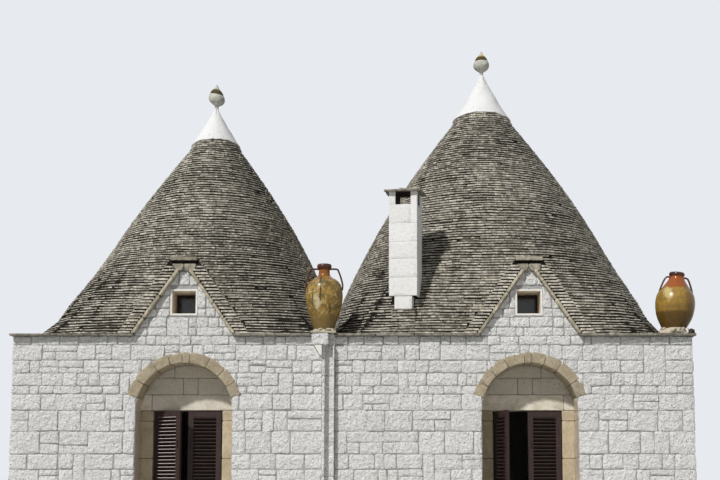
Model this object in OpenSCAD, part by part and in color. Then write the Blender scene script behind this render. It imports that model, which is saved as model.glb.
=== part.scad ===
// Trullo house with two conical dry-stone roofs, in millimetres.
// +X runs to the right along the front, +Y away from it, +Z up.
// The origin lies on the ground, at the middle of the walls' plan.

/* [Walls] */
// Length of the house along its front
house_w = 11300; // [10600:50:12000]
// Depth of the house from front to back
house_d = 6400; // [6100:50:6800]
// Height of the walls up to the eaves slabs
wall_h = 3380; // [3200:20:3500]
// Thickness of the outer walls
wall_t = 800; // [700:20:850]
// Place across the front of the wall between the two rooms
valley_x = -450; // [-520:10:-400]
// Thickness of the wall between the two rooms
middle_t = 760; // [600:20:760]
// Thickness of the stone floors
floor_t = 150; // [80:10:180]
// Thickness of the slabs of the eaves
eaves_t = 40; // [30:5:80]
// How far the eaves slabs stand out from the walls
eaves_out = 120; // [60:10:160]

/* [Doorways] */
// Place of the left doorway across the front
left_door_x = -2800; // [-2860:10:-2760]
// Place of the right doorway across the front
right_door_x = 2940; // [2900:10:2980]
// Radius of the arched niche in front of each door
niche_r = 800; // [740:10:820]
// Depth of the niche from the face of the wall
niche_d = 500; // [380:10:520]
// Height at which the arch springs
spring_h = 2130; // [2100:10:2200]
// Width of the arch ring
arch_w = 180; // [120:5:200]
// How far the arch ring stands out from the wall
arch_out = 25; // [10:5:40]
// Width of the door opening
door_w = 1166; // [1100:2:1200]
// Height of the top of the door opening
door_h = 2166; // [2140:2:2200]
// Height of the lintel over the door
lintel_h = 268; // [220:2:280]

/* [Gables] */
// Place of the left gable across the front
left_gable_x = -2830; // [-2860:10:-2760]
// Place of the right gable across the front
right_gable_x = 2940; // [2900:10:2980]
// Half the width of the gable wall at the eaves
gable_half = 822; // [780:2:860]
// Height of the point of the gable wall over the eaves
gable_h = 1180; // [1080:10:1200]
// Width of the band of slabs along each rake, measured level
rake_w = 262; // [220:2:300]
// How far the rake slabs stand out in front of the wall
rake_out = 95; // [40:5:120]
// Width of the flat slab at the top of the gable
ridge_w = 425; // [360:5:480]
// Clear width of the gable window
window_w = 396; // [360:2:410]
// Clear height of the gable window
window_h = 384; // [350:2:400]
// Width of the stone frame round the window
window_frame_w = 30; // [20:1:40]
// How far the window's stone frame stands out from the wall
window_frame_out = 14; // [5:1:25]
// Height of the foot of the window's stone frame
window_z = 3726; // [3700:2:3740]
// Depth of the window pane behind the face of the wall
pane_d = 520; // [440:10:560]
// Width of the wooden sash round the pane
sash_w = 36; // [28:1:44]

/* [Roof cones] */
// Place of the left cone across the front
left_cone_x = -2870; // [-2900:10:-2840]
// Half width of the left cone's foot
left_foot = 2530; // [2480:10:2560]
// Height of the left cone's stone slabs over the eaves
left_cone_h = 3900; // [3700:20:4000]
// Radius where the left cone meets its white cap
left_cap_r = 450; // [420:5:480]
// How far the left cone's top lies to the right of its foot
left_lean = 125; // [0:5:200]
// Place of the right cone across the front
right_cone_x = 2430; // [2410:10:2450]
// Half width of the right cone's foot
right_foot = 2875; // [2820:5:2890]
// Height of the right cone's stone slabs over the eaves
right_cone_h = 4400; // [4200:20:4500]
// Radius where the right cone meets its white cap
right_cap_r = 540; // [500:5:580]
// How far the right cone's top lies to the right of its foot
right_lean = -60; // [-100:5:100]
// Half depth of the foot of both cones
foot_depth = 3035; // [2980:5:3060]
// Height over which the square foot turns round
square_h = 1900; // [1400:50:2200]
// How square the foot is, where 2 is a circle
squareness = 6; // [4:0.5:8]
// How much the sides of the left cone bulge
left_bulge = 1.45; // [1.3:0.05:1.7]
// How much the sides of the right cone bulge
right_bulge = 1.5; // [1.3:0.05:1.7]
// How far the lowest courses spread to the sides
flare_side = 175; // [0:5:200]
// How far the lowest courses spread to the front and back
flare_deep = 130; // [0:5:150]
// Height over which the lowest courses spread
flare_h = 320; // [200:10:400]

/* [Finials] */
// Height of the left white cap
left_cap_h = 815; // [760:5:860]
// Height of the right white cap
right_cap_h = 985; // [940:5:1020]
// Height of the left finial
left_finial_h = 475; // [440:5:500]
// Height of the right finial
right_finial_h = 475; // [440:5:500]
// Greatest radius of the finials' bowls
bowl_r = 156; // [140:2:170]

/* [Chimney] */
// Place of the chimney across the front
chimney_x = 880; // [860:5:900]
// Place of the chimney's middle from the middle of the house
chimney_y = -2740; // [-2760:5:-2700]
// Width of the square shaft
shaft_w = 474; // [460:2:490]
// Width of the narrower foot of the shaft
chimney_foot_w = 300; // [280:5:320]
// Turn of the chimney about its upright axis, in degrees
chimney_turn = -10.7; // [-13:0.1:-8]
// Height of the foot of the wide shaft
shaft_z = 4088; // [4070:2:4110]
// Height of the top of the shaft
shaft_top = 5890; // [5860:5:5920]
// Width of the flue inside the shaft
flue_w = 266; // [250:2:280]
// Height of the smoke openings
smoke_h = 226; // [200:2:250]
// Width of the slab on the chimney
chimney_cap_w = 645; // [600:5:680]
// Thickness of the slab on the chimney
chimney_cap_t = 50; // [40:2:70]

/* [Jars] */
// Height of the middle jar
middle_jar_h = 1110; // [1060:5:1140]
// Greatest radius of the middle jar
middle_jar_r = 311; // [290:5:315]
// Height of the right jar
right_jar_h = 985; // [960:5:1040]
// Greatest radius of the right jar
right_jar_r = 332; // [320:5:340]
// Lean of the right jar to the right, in degrees
right_jar_lean = 5; // [0:0.5:6]
// Thickness of the jars' walls
jar_t = 22; // [16:1:30]

/* [Shutters] */
// Thickness of the louvred leaves
leaf_t = 44; // [38:1:48]
// Width of the stiles and rails of the leaves
stile_w = 88; // [70:2:100]
// Spacing of the louvres
louvre_pitch = 58; // [54:1:70]
// Opening angle of the left doorway's left leaf
left_leaf_open = 32; // [10:1:80]
// Opening angle of the right doorway's left leaf
right_leaf_open = 72; // [10:1:80]

/* [Hidden] */
$fn = 48;
round_steps = 96;

// Colours of the materials
whitewash = [0.93, 0.92, 0.88];
warm_stone = [0.80, 0.74, 0.60];
roof_stone = [0.50, 0.47, 0.41];
dark_wood = [0.14, 0.09, 0.07];
glaze = [0.72, 0.47, 0.16];
dark_glass = [0.2, 0.22, 0.24];

// Planes of the walls
front_y = -house_d / 2;
back_y = house_d / 2;
inner_front_y = front_y + wall_t;
niche_y = front_y + niche_d;
eaves_z = wall_h + eaves_t;
left_room = [-house_w / 2 + wall_t, valley_x - middle_t / 2];
right_room = [valley_x + middle_t / 2, house_w / 2 - wall_t];
reveal_t = wall_t - niche_d;
// Small gap that keeps faceted neighbours apart
seat_gap = 4;
// Extra length of cutting shapes
cut = 200;
// Places of the middle jar and of the top of the arch openings
middle_jar_x = valley_x - 35;
lintel_top = door_h + lintel_h;

// A box between two corners
module span(low, high) {
    translate(low)
        cube(high - low);
}

// A flat outline in X and Z, pushed back from y0 to y1
module upright(y0, y1) {
    translate([0, y1, 0])
        rotate([90, 0, 0])
            linear_extrude(height = y1 - y0)
                children();
}

// Half width of a cone at height h over the eaves
function cone_half(foot, cap_r, total, bulge, h) =
    foot - (foot - cap_r) * pow(min(1, h / total), bulge);
// Half depth of a cone: the foot is deeper than wide, the top is round
function cone_deep(foot, cap_r, total, bulge, h) =
    cone_half(foot, cap_r, total, bulge, h) + (foot_depth - foot) * pow(1 - min(1, h / total), 3);
// Spread of the lowest courses at height h
function flare(spread, h) = spread * max(0, 1 - h / flare_h);
// Squareness of a level ring at height h
function ring_power(h) = 2 + (squareness - 2) * pow(1 - min(1, h / square_h), 2);
// Distance from the axis to a ring in direction a
function ring_reach(half, deep, power, a) =
    pow(pow(abs(cos(a)) / half, power) + pow(abs(sin(a)) / deep, power), -1 / power);

// Steps round and up each cone
ring_steps = 48;
rise_steps = 12;
dome_steps = 8;
// Size of the domed ceiling inside the cones
dome_bulge = 1.6;
dome_deep = house_d / 2 - wall_t;
dome_tip = 160;
left_dome_h = 3150;
right_dome_h = 3600;

// One level ring of stone: x is its middle at this height
function outer_ring(x, foot, cap_r, total, bulge, h, low_x, high_x) = [
    for (i = [0 : ring_steps - 1])
        let (a = 360 * i / ring_steps)
        let (half = cone_half(foot, cap_r, total, bulge, h) + flare(flare_side, h))
        let (deep = cone_deep(foot, cap_r, total, bulge, h) + flare(flare_deep, h))
        let (r = ring_reach(half, deep, ring_power(h), a))
        [min(high_x, max(low_x, x + r * cos(a))), r * sin(a), eaves_z + h]
];

// The rings of a cone from its foot up to its white cap
function outer_rings(x, lean, foot, cap_r, total, bulge, low_x, high_x) = [
    for (k = [0 : rise_steps])
        outer_ring(x + lean * k / rise_steps, foot, cap_r, total, bulge,
                   total * k / rise_steps, low_x, high_x)
];

function dome_ring(x, half, total, h, low_x, high_x) = [
    for (i = [0 : ring_steps - 1])
        let (a = 360 * i / ring_steps)
        let (k = 1 - pow(h / total, dome_bulge))
        let (r = ring_reach(dome_tip + (half - dome_tip) * k,
                            dome_tip + (dome_deep - dome_tip) * k, ring_power(h) + 1, a))
        [min(high_x, max(low_x, x + r * cos(a))), r * sin(a), eaves_z + h]
];

function flatten(lists) = [for (l = lists) each l];

// Side faces between ring k and the next ring of a stack
function stack_faces(first, rings, inward) = [
    for (k = [0 : rings - 2], i = [0 : ring_steps - 1])
        let (j = (i + 1) % ring_steps)
        let (a = first + k * ring_steps + i, b = first + k * ring_steps + j)
        let (c = a + ring_steps, d = b + ring_steps)
        each inward ? [[a, b, c], [b, d, c]] : [[a, c, b], [b, c, d]]
];

// Flat lid over a ring: a fan from a point at its middle
function lid_faces(first, middle, inward) = [
    for (i = [0 : ring_steps - 1])
        let (j = (i + 1) % ring_steps)
        inward ? [first + i, first + j, middle] : [first + j, first + i, middle]
];

// The full body of a cone, without its hollow
module cone_body(x, lean, foot, cap_r, total, bulge, low_x, high_x) {
    rings = outer_rings(x, lean, foot, cap_r, total, bulge, low_x, high_x);
    count = len(rings) * ring_steps;
    polyhedron(
        points = concat(flatten(rings), [[x, 0, eaves_z], [x + lean, 0, eaves_z + total]]),
        faces = concat(
            lid_faces(0, count, true),
            stack_faces(0, len(rings), false),
            lid_faces(count - ring_steps, count + 1, false)));
}

// A cone of dry stone with a domed room under it
module cone_shell(x, lean, foot, cap_r, total, bulge, low_x, high_x, room, dome_h) {
    room_x = (room[0] + room[1]) / 2;
    half = (room[1] - room[0]) / 2;
    rings = outer_rings(x, lean, foot, cap_r, total, bulge, low_x, high_x);
    domes = [for (k = [0 : dome_steps])
        dome_ring(room_x + (x - room_x) * k / dome_steps, half, dome_h,
                  dome_h * k / dome_steps, room[0], room[1])];
    inner = len(rings) * ring_steps;
    count = inner + len(domes) * ring_steps;
    foot_faces = [
        for (i = [0 : ring_steps - 1])
            let (j = (i + 1) % ring_steps)
            each [[i, j, inner + i], [j, inner + j, inner + i]]
    ];
    polyhedron(
        points = concat(flatten(rings), flatten(domes),
                        [[x + lean, 0, eaves_z + total], [x, 0, eaves_z + dome_h]]),
        faces = concat(
            foot_faces,
            stack_faces(0, len(rings), false),
            lid_faces(inner - ring_steps, count, false),
            stack_faces(inner, len(domes), true),
            lid_faces(count - ring_steps, count + 1, true)));
}

// The passage of a gable window through the wall and the roof
module window_passage(x) {
    translate([x - window_w / 2, front_y - cut, window_z + window_frame_w])
        cube([window_w, house_d / 2, window_h]);
}

// The flue inside the chimney, ending blind over its foot
flue_z = shaft_z + 60;

module flue() {
    translate([-flue_w / 2, -flue_w / 2, flue_z])
        cube([flue_w, flue_w, shaft_top]);
}

module left_cone_body() {
    cone_body(left_cone_x, left_lean, left_foot, left_cap_r, left_cone_h, left_bulge,
              -house_w, valley_x - seat_gap);
}

module right_cone_body() {
    cone_body(right_cone_x, right_lean, right_foot, right_cap_r, right_cone_h, right_bulge,
              valley_x + seat_gap, house_w);
}

module left_cone() {
    color(roof_stone)
        difference() {
            cone_shell(left_cone_x, left_lean, left_foot, left_cap_r, left_cone_h, left_bulge,
                       -house_w, valley_x - seat_gap, left_room, left_dome_h);
            window_passage(left_gable_x);
        }
}

module right_cone() {
    color(roof_stone)
        difference() {
            cone_shell(right_cone_x, right_lean, right_foot, right_cap_r, right_cone_h,
                       right_bulge, valley_x + seat_gap, house_w, right_room, right_dome_h);
            window_passage(right_gable_x);
            chimney_place()
                flue();
        }
}

// Floors: one slab in each room, reaching out through the doorway
module room_floor(room, door_x) {
    color(warm_stone)
        union() {
            span([room[0], inner_front_y, 0], [room[1], back_y - wall_t, floor_t]);
            span([door_x - niche_r, front_y, 0], [door_x + niche_r, inner_front_y, floor_t]);
        }
}

module left_floor() {
    room_floor(left_room, left_door_x);
}

module right_floor() {
    room_floor(right_room, right_door_x);
}

// Front wall beside the doorways
module front_stretch(x0, x1) {
    color(whitewash)
        span([x0, front_y, 0], [x1, inner_front_y, wall_h]);
}

ring_r = niche_r + arch_w;

module front_wall_left() {
    front_stretch(-house_w / 2, left_door_x - ring_r);
}

module front_wall_middle() {
    front_stretch(left_door_x + ring_r, right_door_x - ring_r);
}

module front_wall_right() {
    front_stretch(right_door_x + ring_r, house_w / 2);
}

// Angle over the springing at which the arch ring starts
ring_start = 16;

// The wedge that the arch ring fills, in X and Z round the arch's centre
module ring_sector(r0, r1) {
    low = [r1 * 2 * cos(ring_start), r1 * 2 * sin(ring_start)];
    difference() {
        intersection() {
            circle(r = r1, $fn = round_steps);
            polygon([[0, 0], low, [low[0], r1 * 3], [-low[0], r1 * 3], [-low[0], low[1]]]);
        }
        circle(r = r0, $fn = round_steps);
    }
}

// Wall beside and over a doorway, with the seat of the arch ring
module door_wall(x) {
    color(whitewash)
        difference() {
            span([x - ring_r, front_y, 0], [x + ring_r, inner_front_y, wall_h]);
            span([x - niche_r, front_y - cut, -cut], [x + niche_r, inner_front_y + cut, spring_h]);
            translate([x, 0, spring_h])
                upright(front_y - cut, inner_front_y + cut)
                    circle(r = niche_r, $fn = round_steps);
            translate([x, 0, spring_h])
                upright(front_y - cut, niche_y)
                    ring_sector(niche_r / 2, ring_r);
        }
}

module left_door_wall() {
    door_wall(left_door_x);
}

module right_door_wall() {
    door_wall(right_door_x);
}

// Ring of dressed stones round the niche
module door_arch(x) {
    color(warm_stone)
        translate([x, 0, spring_h])
            upright(front_y - arch_out, niche_y)
                ring_sector(niche_r, ring_r);
}

module left_arch() {
    door_arch(left_door_x);
}

module right_arch() {
    door_arch(right_door_x);
}

// Slabs that close the arch over the lintel
module tympanum(x) {
    color(whitewash)
        translate([x, 0, 0])
            upright(niche_y, inner_front_y)
                intersection() {
                    translate([0, spring_h])
                        circle(r = niche_r, $fn = round_steps);
                    translate([-niche_r, lintel_top])
                        square([niche_r * 2, niche_r]);
                }
}

module left_tympanum() {
    tympanum(left_door_x);
}

module right_tympanum() {
    tympanum(right_door_x);
}

// Jambs and lintel of a doorway
module door_frame(x) {
    color(warm_stone)
        translate([x, 0, 0])
            upright(niche_y, inner_front_y)
                difference() {
                    union() {
                        translate([-niche_r, floor_t])
                            square([niche_r * 2, spring_h - floor_t]);
                        intersection() {
                            translate([0, spring_h])
                                circle(r = niche_r, $fn = round_steps);
                            translate([-niche_r, spring_h])
                                square([niche_r * 2, lintel_top - spring_h]);
                        }
                    }
                    translate([-door_w / 2, 0])
                        square([door_w, door_h]);
                }
}

module left_door_frame() {
    door_frame(left_door_x);
}

module right_door_frame() {
    door_frame(right_door_x);
}

// Back, side and middle walls
module back_wall() {
    color(whitewash)
        span([-house_w / 2, back_y - wall_t, 0], [house_w / 2, back_y, wall_h]);
}

module side_wall(x0) {
    color(whitewash)
        span([x0, inner_front_y, 0], [x0 + wall_t, back_y - wall_t, wall_h]);
}

module left_wall() {
    side_wall(-house_w / 2);
}

module right_wall() {
    side_wall(house_w / 2 - wall_t);
}

module middle_wall() {
    color(whitewash)
        span([valley_x - middle_t / 2, inner_front_y, 0],
             [valley_x + middle_t / 2, back_y - wall_t, wall_h]);
}

// Gables over the doorways
gable_depth = 620;
roof_depth = 1500;
ridge_rise = 90;
window_frame_d = 120;

module gable_wall(x) {
    color(whitewash)
        difference() {
            union() {
                span([x - gable_half, front_y, wall_h], [x + gable_half, inner_front_y, eaves_z]);
                difference() {
                    translate([x, 0, eaves_z])
                        upright(front_y, front_y + gable_depth)
                            polygon([[-gable_half, 0], [gable_half, 0], [0, gable_h]]);
                    children();
                }
            }
            window_passage(x);
            translate([x, 0, 0])
                upright(front_y - cut, front_y + window_frame_d)
                    window_frame_outline(0);
        }
}

module left_gable() {
    gable_wall(left_gable_x)
        translate([0, -seat_gap, 0])
            left_cone_body();
}

module right_gable() {
    gable_wall(right_gable_x)
        translate([0, -seat_gap, 0])
            right_cone_body();
}

// Stacked slabs along both rakes of a gable, running back into the cone
module gable_roof(x) {
    top_z = gable_h + ridge_rise;
    color(roof_stone)
        difference() {
            translate([x, 0, eaves_z])
                upright(front_y - rake_out, front_y + roof_depth)
                    polygon([
                        [-gable_half - rake_w, 0], [-gable_half, 0], [0, gable_h],
                        [gable_half, 0], [gable_half + rake_w, 0],
                        [ridge_w / 2, top_z], [-ridge_w / 2, top_z]
                    ]);
            children();
        }
}

module left_gable_roof() {
    gable_roof(left_gable_x)
        translate([0, -seat_gap, 0])
            left_cone_body();
}

module right_gable_roof() {
    gable_roof(right_gable_x)
        translate([0, -seat_gap, 0])
            right_cone_body();
}

// Outline of a window frame, drawn in by the given distance
module window_frame_outline(inset) {
    translate([-window_w / 2 - window_frame_w + inset, window_z + inset])
        square([window_w + (window_frame_w - inset) * 2, window_h + (window_frame_w - inset) * 2]);
}

module window_frame(x) {
    translate([x, 0, 0])
        upright(front_y - window_frame_out, front_y + window_frame_d)
            difference() {
                window_frame_outline(0);
                window_frame_outline(window_frame_w);
            }
}

module window_frames() {
    color(whitewash) {
        window_frame(left_gable_x);
        window_frame(right_gable_x);
    }
}

// Wooden sashes with their panes, deep in the passages
sash_t = 40;
pane_t = 6;

module window_sash(x) {
    translate([x, 0, 0])
        upright(front_y + pane_d, front_y + pane_d + sash_t)
            difference() {
                window_frame_outline(window_frame_w);
                window_frame_outline(window_frame_w + sash_w);
            }
}

module window_sashes() {
    color(dark_wood) {
        window_sash(left_gable_x);
        window_sash(right_gable_x);
    }
}

module window_pane(x) {
    middle_y = front_y + pane_d + sash_t / 2;
    translate([x, 0, 0])
        upright(middle_y - pane_t / 2, middle_y + pane_t / 2)
            window_frame_outline(window_frame_w + sash_w);
}

module window_panes() {
    color(dark_glass) {
        window_pane(left_gable_x);
        window_pane(right_gable_x);
    }
}

// Slabs of the eaves, laid over the tops of the walls
outer_x = house_w / 2 + eaves_out;
outer_y = house_d / 2 + eaves_out;
block_half = 195;

module front_eaves() {
    stretches = [
        [-outer_x, left_gable_x - gable_half],
        [left_gable_x + gable_half, middle_jar_x - block_half],
        [middle_jar_x + block_half, right_gable_x - gable_half],
        [right_gable_x + gable_half, outer_x]
    ];
    color(roof_stone)
        for (s = stretches)
            span([s[0], -outer_y, wall_h], [s[1], inner_front_y, eaves_z]);
}

module back_eaves() {
    color(roof_stone)
        span([-outer_x, back_y - wall_t, wall_h], [outer_x, outer_y, eaves_z]);
}

module side_eaves() {
    color(roof_stone) {
        span([-outer_x, inner_front_y, wall_h], [left_room[0], back_y - wall_t, eaves_z]);
        span([right_room[1], inner_front_y, wall_h], [outer_x, back_y - wall_t, eaves_z]);
    }
}

module valley_slab() {
    color(roof_stone)
        span([valley_x - middle_t / 2, inner_front_y, wall_h],
             [valley_x + middle_t / 2, back_y - wall_t, eaves_z]);
}

// White caps, drawn in to a thin neck
cap_lip = 35;
cap_neck = 36;
cap_hollow = 1.15;
cap_steps = 10;

module cap(x, r, h, z) {
    color(whitewash)
        translate([x, 0, z])
            rotate_extrude()
                polygon(concat(
                    [[0, 0]],
                    [for (i = [0 : cap_steps])
                        let (k = i / cap_steps)
                        [cap_neck + (r - cap_neck) * pow(1 - k, cap_hollow), h * k]],
                    [[0, h]]));
}

module left_cap() {
    cap(left_cone_x + left_lean, left_cap_r + cap_lip, left_cap_h, eaves_z + left_cone_h);
}

module right_cap() {
    cap(right_cone_x + right_lean, right_cap_r + cap_lip, right_cap_h, eaves_z + right_cone_h);
}

// Heights of the finial's parts as shares of its height, and radii
neck_share = 0.10;
bowl_share = 0.50;
stopper_share = 0.74;
bowl_span = 60;
neck_r = 38;
stopper_r = bowl_r * 0.78;
tip_r = 12;

// A stone bowl with a stopper, on a thin neck
module finial(x, z, h) {
    bowl_middle = h * (neck_share + bowl_share) / 2;
    bowl_half = h * (bowl_share - neck_share) / 2;
    color(warm_stone)
        translate([x, 0, z])
            rotate_extrude()
                polygon(concat(
                    [[0, 0], [neck_r, 0]],
                    [for (a = [-bowl_span : bowl_span / 3 : bowl_span])
                        [bowl_r * cos(a), bowl_middle + bowl_half * sin(a) / sin(bowl_span)]],
                    [[stopper_r, h * bowl_share], [stopper_r * 0.86, h * stopper_share],
                     [stopper_r * 0.62, h * stopper_share], [tip_r, h], [0, h]]));
}

module left_finial() {
    finial(left_cone_x + left_lean, eaves_z + left_cone_h + left_cap_h, left_finial_h);
}

module right_finial() {
    finial(right_cone_x + right_lean, eaves_z + right_cone_h + right_cap_h, right_finial_h);
}

// Chimney: a square shaft on a narrower foot
foot_rise = 400;
foot_inset = 12;

module chimney_place() {
    translate([chimney_x, chimney_y, 0])
        rotate([0, 0, chimney_turn])
            children();
}

module chimney_shaft() {
    smoke_z = shaft_top - smoke_h;
    color(whitewash)
        difference() {
            chimney_place()
                difference() {
                    union() {
                        translate([-shaft_w / 2, -shaft_w / 2, shaft_z])
                            cube([shaft_w, shaft_w, shaft_top - shaft_z]);
                        translate([-chimney_foot_w / 2, foot_inset - shaft_w / 2, shaft_z - foot_rise])
                            cube([chimney_foot_w, shaft_w - foot_inset * 2, foot_rise]);
                    }
                    flue();
                    translate([-flue_w / 2, -shaft_w, smoke_z])
                        cube([flue_w, shaft_w * 2, smoke_h + cut]);
                    translate([-shaft_w, -flue_w / 2, smoke_z])
                        cube([shaft_w * 2, flue_w, smoke_h + cut]);
                }
            translate([0, -seat_gap, 0])
                right_cone_body();
        }
}

module chimney_cap() {
    color(roof_stone)
        chimney_place()
            translate([-chimney_cap_w / 2, -chimney_cap_w / 2, shaft_top])
                cube([chimney_cap_w, chimney_cap_w, chimney_cap_t]);
}

// Outlines of the jars from foot to rim, as shares of radius and height
middle_outline = [
    [0.50, 0.00], [0.55, 0.03], [0.72, 0.16], [0.86, 0.27], [0.96, 0.39], [1.00, 0.52],
    [0.98, 0.60], [0.93, 0.68], [0.78, 0.745], [0.52, 0.785], [0.34, 0.82], [0.30, 0.86],
    [0.30, 0.91], [0.36, 0.925], [0.39, 0.955], [0.37, 0.985], [0.33, 1.00]
];
right_outline = [
    [0.56, 0.00], [0.69, 0.08], [0.84, 0.18], [0.94, 0.28], [1.00, 0.42], [0.99, 0.52],
    [0.89, 0.62], [0.70, 0.70], [0.55, 0.77], [0.41, 0.84], [0.34, 0.89],
    [0.34, 0.93], [0.37, 0.95], [0.37, 0.985], [0.33, 1.00]
];
strap_w = 46;
strap_t = 24;

// Outer sides of the handles from the neck, level out and then down to the shoulder
middle_handle = [[0.28, 0.935], [0.68, 0.935], [0.79, 0.905], [0.92, 0.80], [1.03, 0.68], [1.01, 0.60]];
right_handle = [[0.28, 0.925], [0.54, 0.92], [0.64, 0.88], [0.74, 0.80], [0.84, 0.70], [0.91, 0.60]];

// A flat strap handle that follows the given points
module strap_handle(points, h, r) {
    outer = [for (p = points) [p[0] * r, p[1] * h]];
    last = len(outer) - 1;
    inner = [for (i = [last : -1 : 0])
        i < 2 ? outer[i] - [i * strap_t / 3, strap_t] : outer[i] - [strap_t, strap_t / 3]];
    upright(-strap_w / 2, strap_w / 2)
        polygon(concat(outer, inner));
}

// The outside of a jar, filled
module jar_form(outline, h, r) {
    rotate_extrude()
        polygon(concat([[0, 0]], [for (p = outline) [p[0] * r, p[1] * h]], [[0, h]]));
}

// A hollow storage jar with two handles
module jar(outline, handle, h, r) {
    hollow = [for (p = outline) [p[0] * r - jar_t, max(jar_t, p[1] * h)]];
    mouth_r = hollow[len(hollow) - 1][0];
    difference() {
        union() {
            jar_form(outline, h, r);
            strap_handle(handle, h, r);
            mirror([1, 0, 0])
                strap_handle(handle, h, r);
        }
        rotate_extrude()
            polygon(concat([[0, jar_t]], hollow, [[mouth_r, h + cut], [0, h + cut]]));
    }
}

// Places of the jars, and the beds under them
bed_h = 60;
bed_slab_t = 26;
bed_slab_half = 213;
right_bed_h = bed_h + 25;
right_bed_rim = 20;
middle_jar_y = front_y - 10;
right_jar_x = 5394;
right_jar_y = front_y + 230;

module right_jar_place() {
    translate([right_jar_x, right_jar_y, eaves_z + right_bed_h])
        rotate([0, right_jar_lean, 0])
            children();
}

module middle_jar() {
    color(glaze)
        translate([middle_jar_x, middle_jar_y, eaves_z + bed_h])
            jar(middle_outline, middle_handle, middle_jar_h, middle_jar_r);
}

module right_jar() {
    color(glaze)
        right_jar_place()
            jar(right_outline, right_handle, right_jar_h, right_jar_r);
}

// A thin slab with mortar on it for the middle jar, and a heap of mortar for the right one
module jar_beds() {
    color(warm_stone) {
        span([middle_jar_x - bed_slab_half, front_y - block_out - 18, eaves_z],
             [middle_jar_x + bed_slab_half, middle_jar_y + bed_slab_half, eaves_z + bed_slab_t]);
        translate([middle_jar_x, middle_jar_y, eaves_z + bed_slab_t])
            cylinder(r1 = 200, r2 = 165, h = bed_h - bed_slab_t);
        difference() {
            translate([right_jar_x, right_jar_y, eaves_z])
                cylinder(r1 = 255, r2 = 212, h = right_bed_h + right_bed_rim);
            right_jar_place()
                jar_form(right_outline, right_jar_h, right_jar_r);
        }
    }
}

// Block under the middle jar, on a tapered bracket: its right part stands back
block_h = 200;
block_out = 200;
block_split = 80;
block_step = 50;
block_z = eaves_z - block_h;
bracket_h = 170;
bracket_left = 160;
bracket_foot_left = 60;
channel_half = 100;
channel_out = 120;
channel_x = -405;
channel_lip = 42;
channel_far_lip = 25;
channel_floor = 12;

module channel_form() {
    span([channel_x - channel_half, front_y - channel_out, 0],
         [channel_x + channel_half, front_y, block_z]);
}

module spout_block() {
    color(whitewash)
        union() {
            span([middle_jar_x - block_half, front_y - block_out, block_z],
                 [middle_jar_x + block_split, front_y, eaves_z]);
            span([middle_jar_x + block_split, front_y - block_step, block_z],
                 [middle_jar_x + block_half, front_y, eaves_z]);
            span([middle_jar_x - block_half, front_y, wall_h],
                 [middle_jar_x + block_half, inner_front_y, eaves_z]);
            difference() {
                translate([middle_jar_x, 0, block_z])
                    upright(front_y - block_out, front_y)
                        polygon([
                            [-bracket_left, 0], [-bracket_foot_left, -bracket_h],
                            [block_split, -bracket_h], [block_split, 0]
                        ]);
                channel_form();
            }
        }
}

// Open channel that leads rain down the wall below the block
module rain_channel() {
    color(whitewash)
        difference() {
            channel_form();
            span([channel_x - channel_half + channel_lip, front_y - channel_out - cut, -cut],
                 [channel_x + channel_half - channel_far_lip, front_y - channel_floor, block_z + cut]);
        }
}

// Louvred leaves, each drawn closed from its hinge towards +X
hinge_gap = 16;
leaf_gap = 12;
leaf_foot = floor_t + 15;
leaf_top = door_h - 15;
leaf_w = door_w / 2 - hinge_gap - leaf_gap / 2;
mid_rail_z = 900;
rail_h = 90;
slat_w = 52;
slat_t = 10;
slat_tilt = -42;
slat_seat = 10;
knuckle_r = 9;
knuckle_h = 110;
knuckle_places = [leaf_foot + 220, mid_rail_z + 60, leaf_top - 300];
leaf_y = niche_y + 8;
catch_z = 1606;
catch_w = 14;
catch_h = 110;
catch_out = 34;

module louvres(z0, z1) {
    count = floor((z1 - z0) / louvre_pitch);
    step = (z1 - z0) / count;
    for (i = [0 : count - 1])
        translate([leaf_w / 2, leaf_t / 2, z0 + (i + 0.5) * step])
            rotate([slat_tilt, 0, 0])
                cube([leaf_w - stile_w * 2 + slat_seat * 2, slat_w, slat_t], center = true);
}

module leaf() {
    union() {
        span([0, 0, leaf_foot], [stile_w, leaf_t, leaf_top]);
        span([leaf_w - stile_w, 0, leaf_foot], [leaf_w, leaf_t, leaf_top]);
        span([0, 0, leaf_foot], [leaf_w, leaf_t, leaf_foot + rail_h]);
        span([0, 0, mid_rail_z], [leaf_w, leaf_t, mid_rail_z + rail_h]);
        span([0, 0, leaf_top - rail_h], [leaf_w, leaf_t, leaf_top]);
        louvres(leaf_foot + rail_h, mid_rail_z);
        louvres(mid_rail_z + rail_h, leaf_top - rail_h);
        for (z = knuckle_places)
            translate([0, 0, z])
                cylinder(r = knuckle_r, h = knuckle_h, $fn = 24);
        translate([leaf_w - stile_w / 2, -catch_out / 2, catch_z])
            difference() {
                cube([catch_w, catch_out, catch_h], center = true);
                translate([0, catch_w / 2, 0])
                    cube([catch_w * 2, catch_out, catch_h - catch_w * 2], center = true);
            }
    }
}

module hung_leaf(door_x, side, open) {
    color(dark_wood)
        translate([door_x + side * (door_w / 2 - hinge_gap), leaf_y, 0])
            rotate([0, 0, side * open])
                if (side < 0)
                    leaf();
                else
                    mirror([1, 0, 0])
                        leaf();
}

module left_door_left_shutter() {
    hung_leaf(left_door_x, -1, left_leaf_open);
}

module left_door_right_shutter() {
    hung_leaf(left_door_x, 1, 0);
}

module right_door_left_shutter() {
    hung_leaf(right_door_x, -1, right_leaf_open);
}

module right_door_right_shutter() {
    hung_leaf(right_door_x, 1, 0);
}

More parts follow.
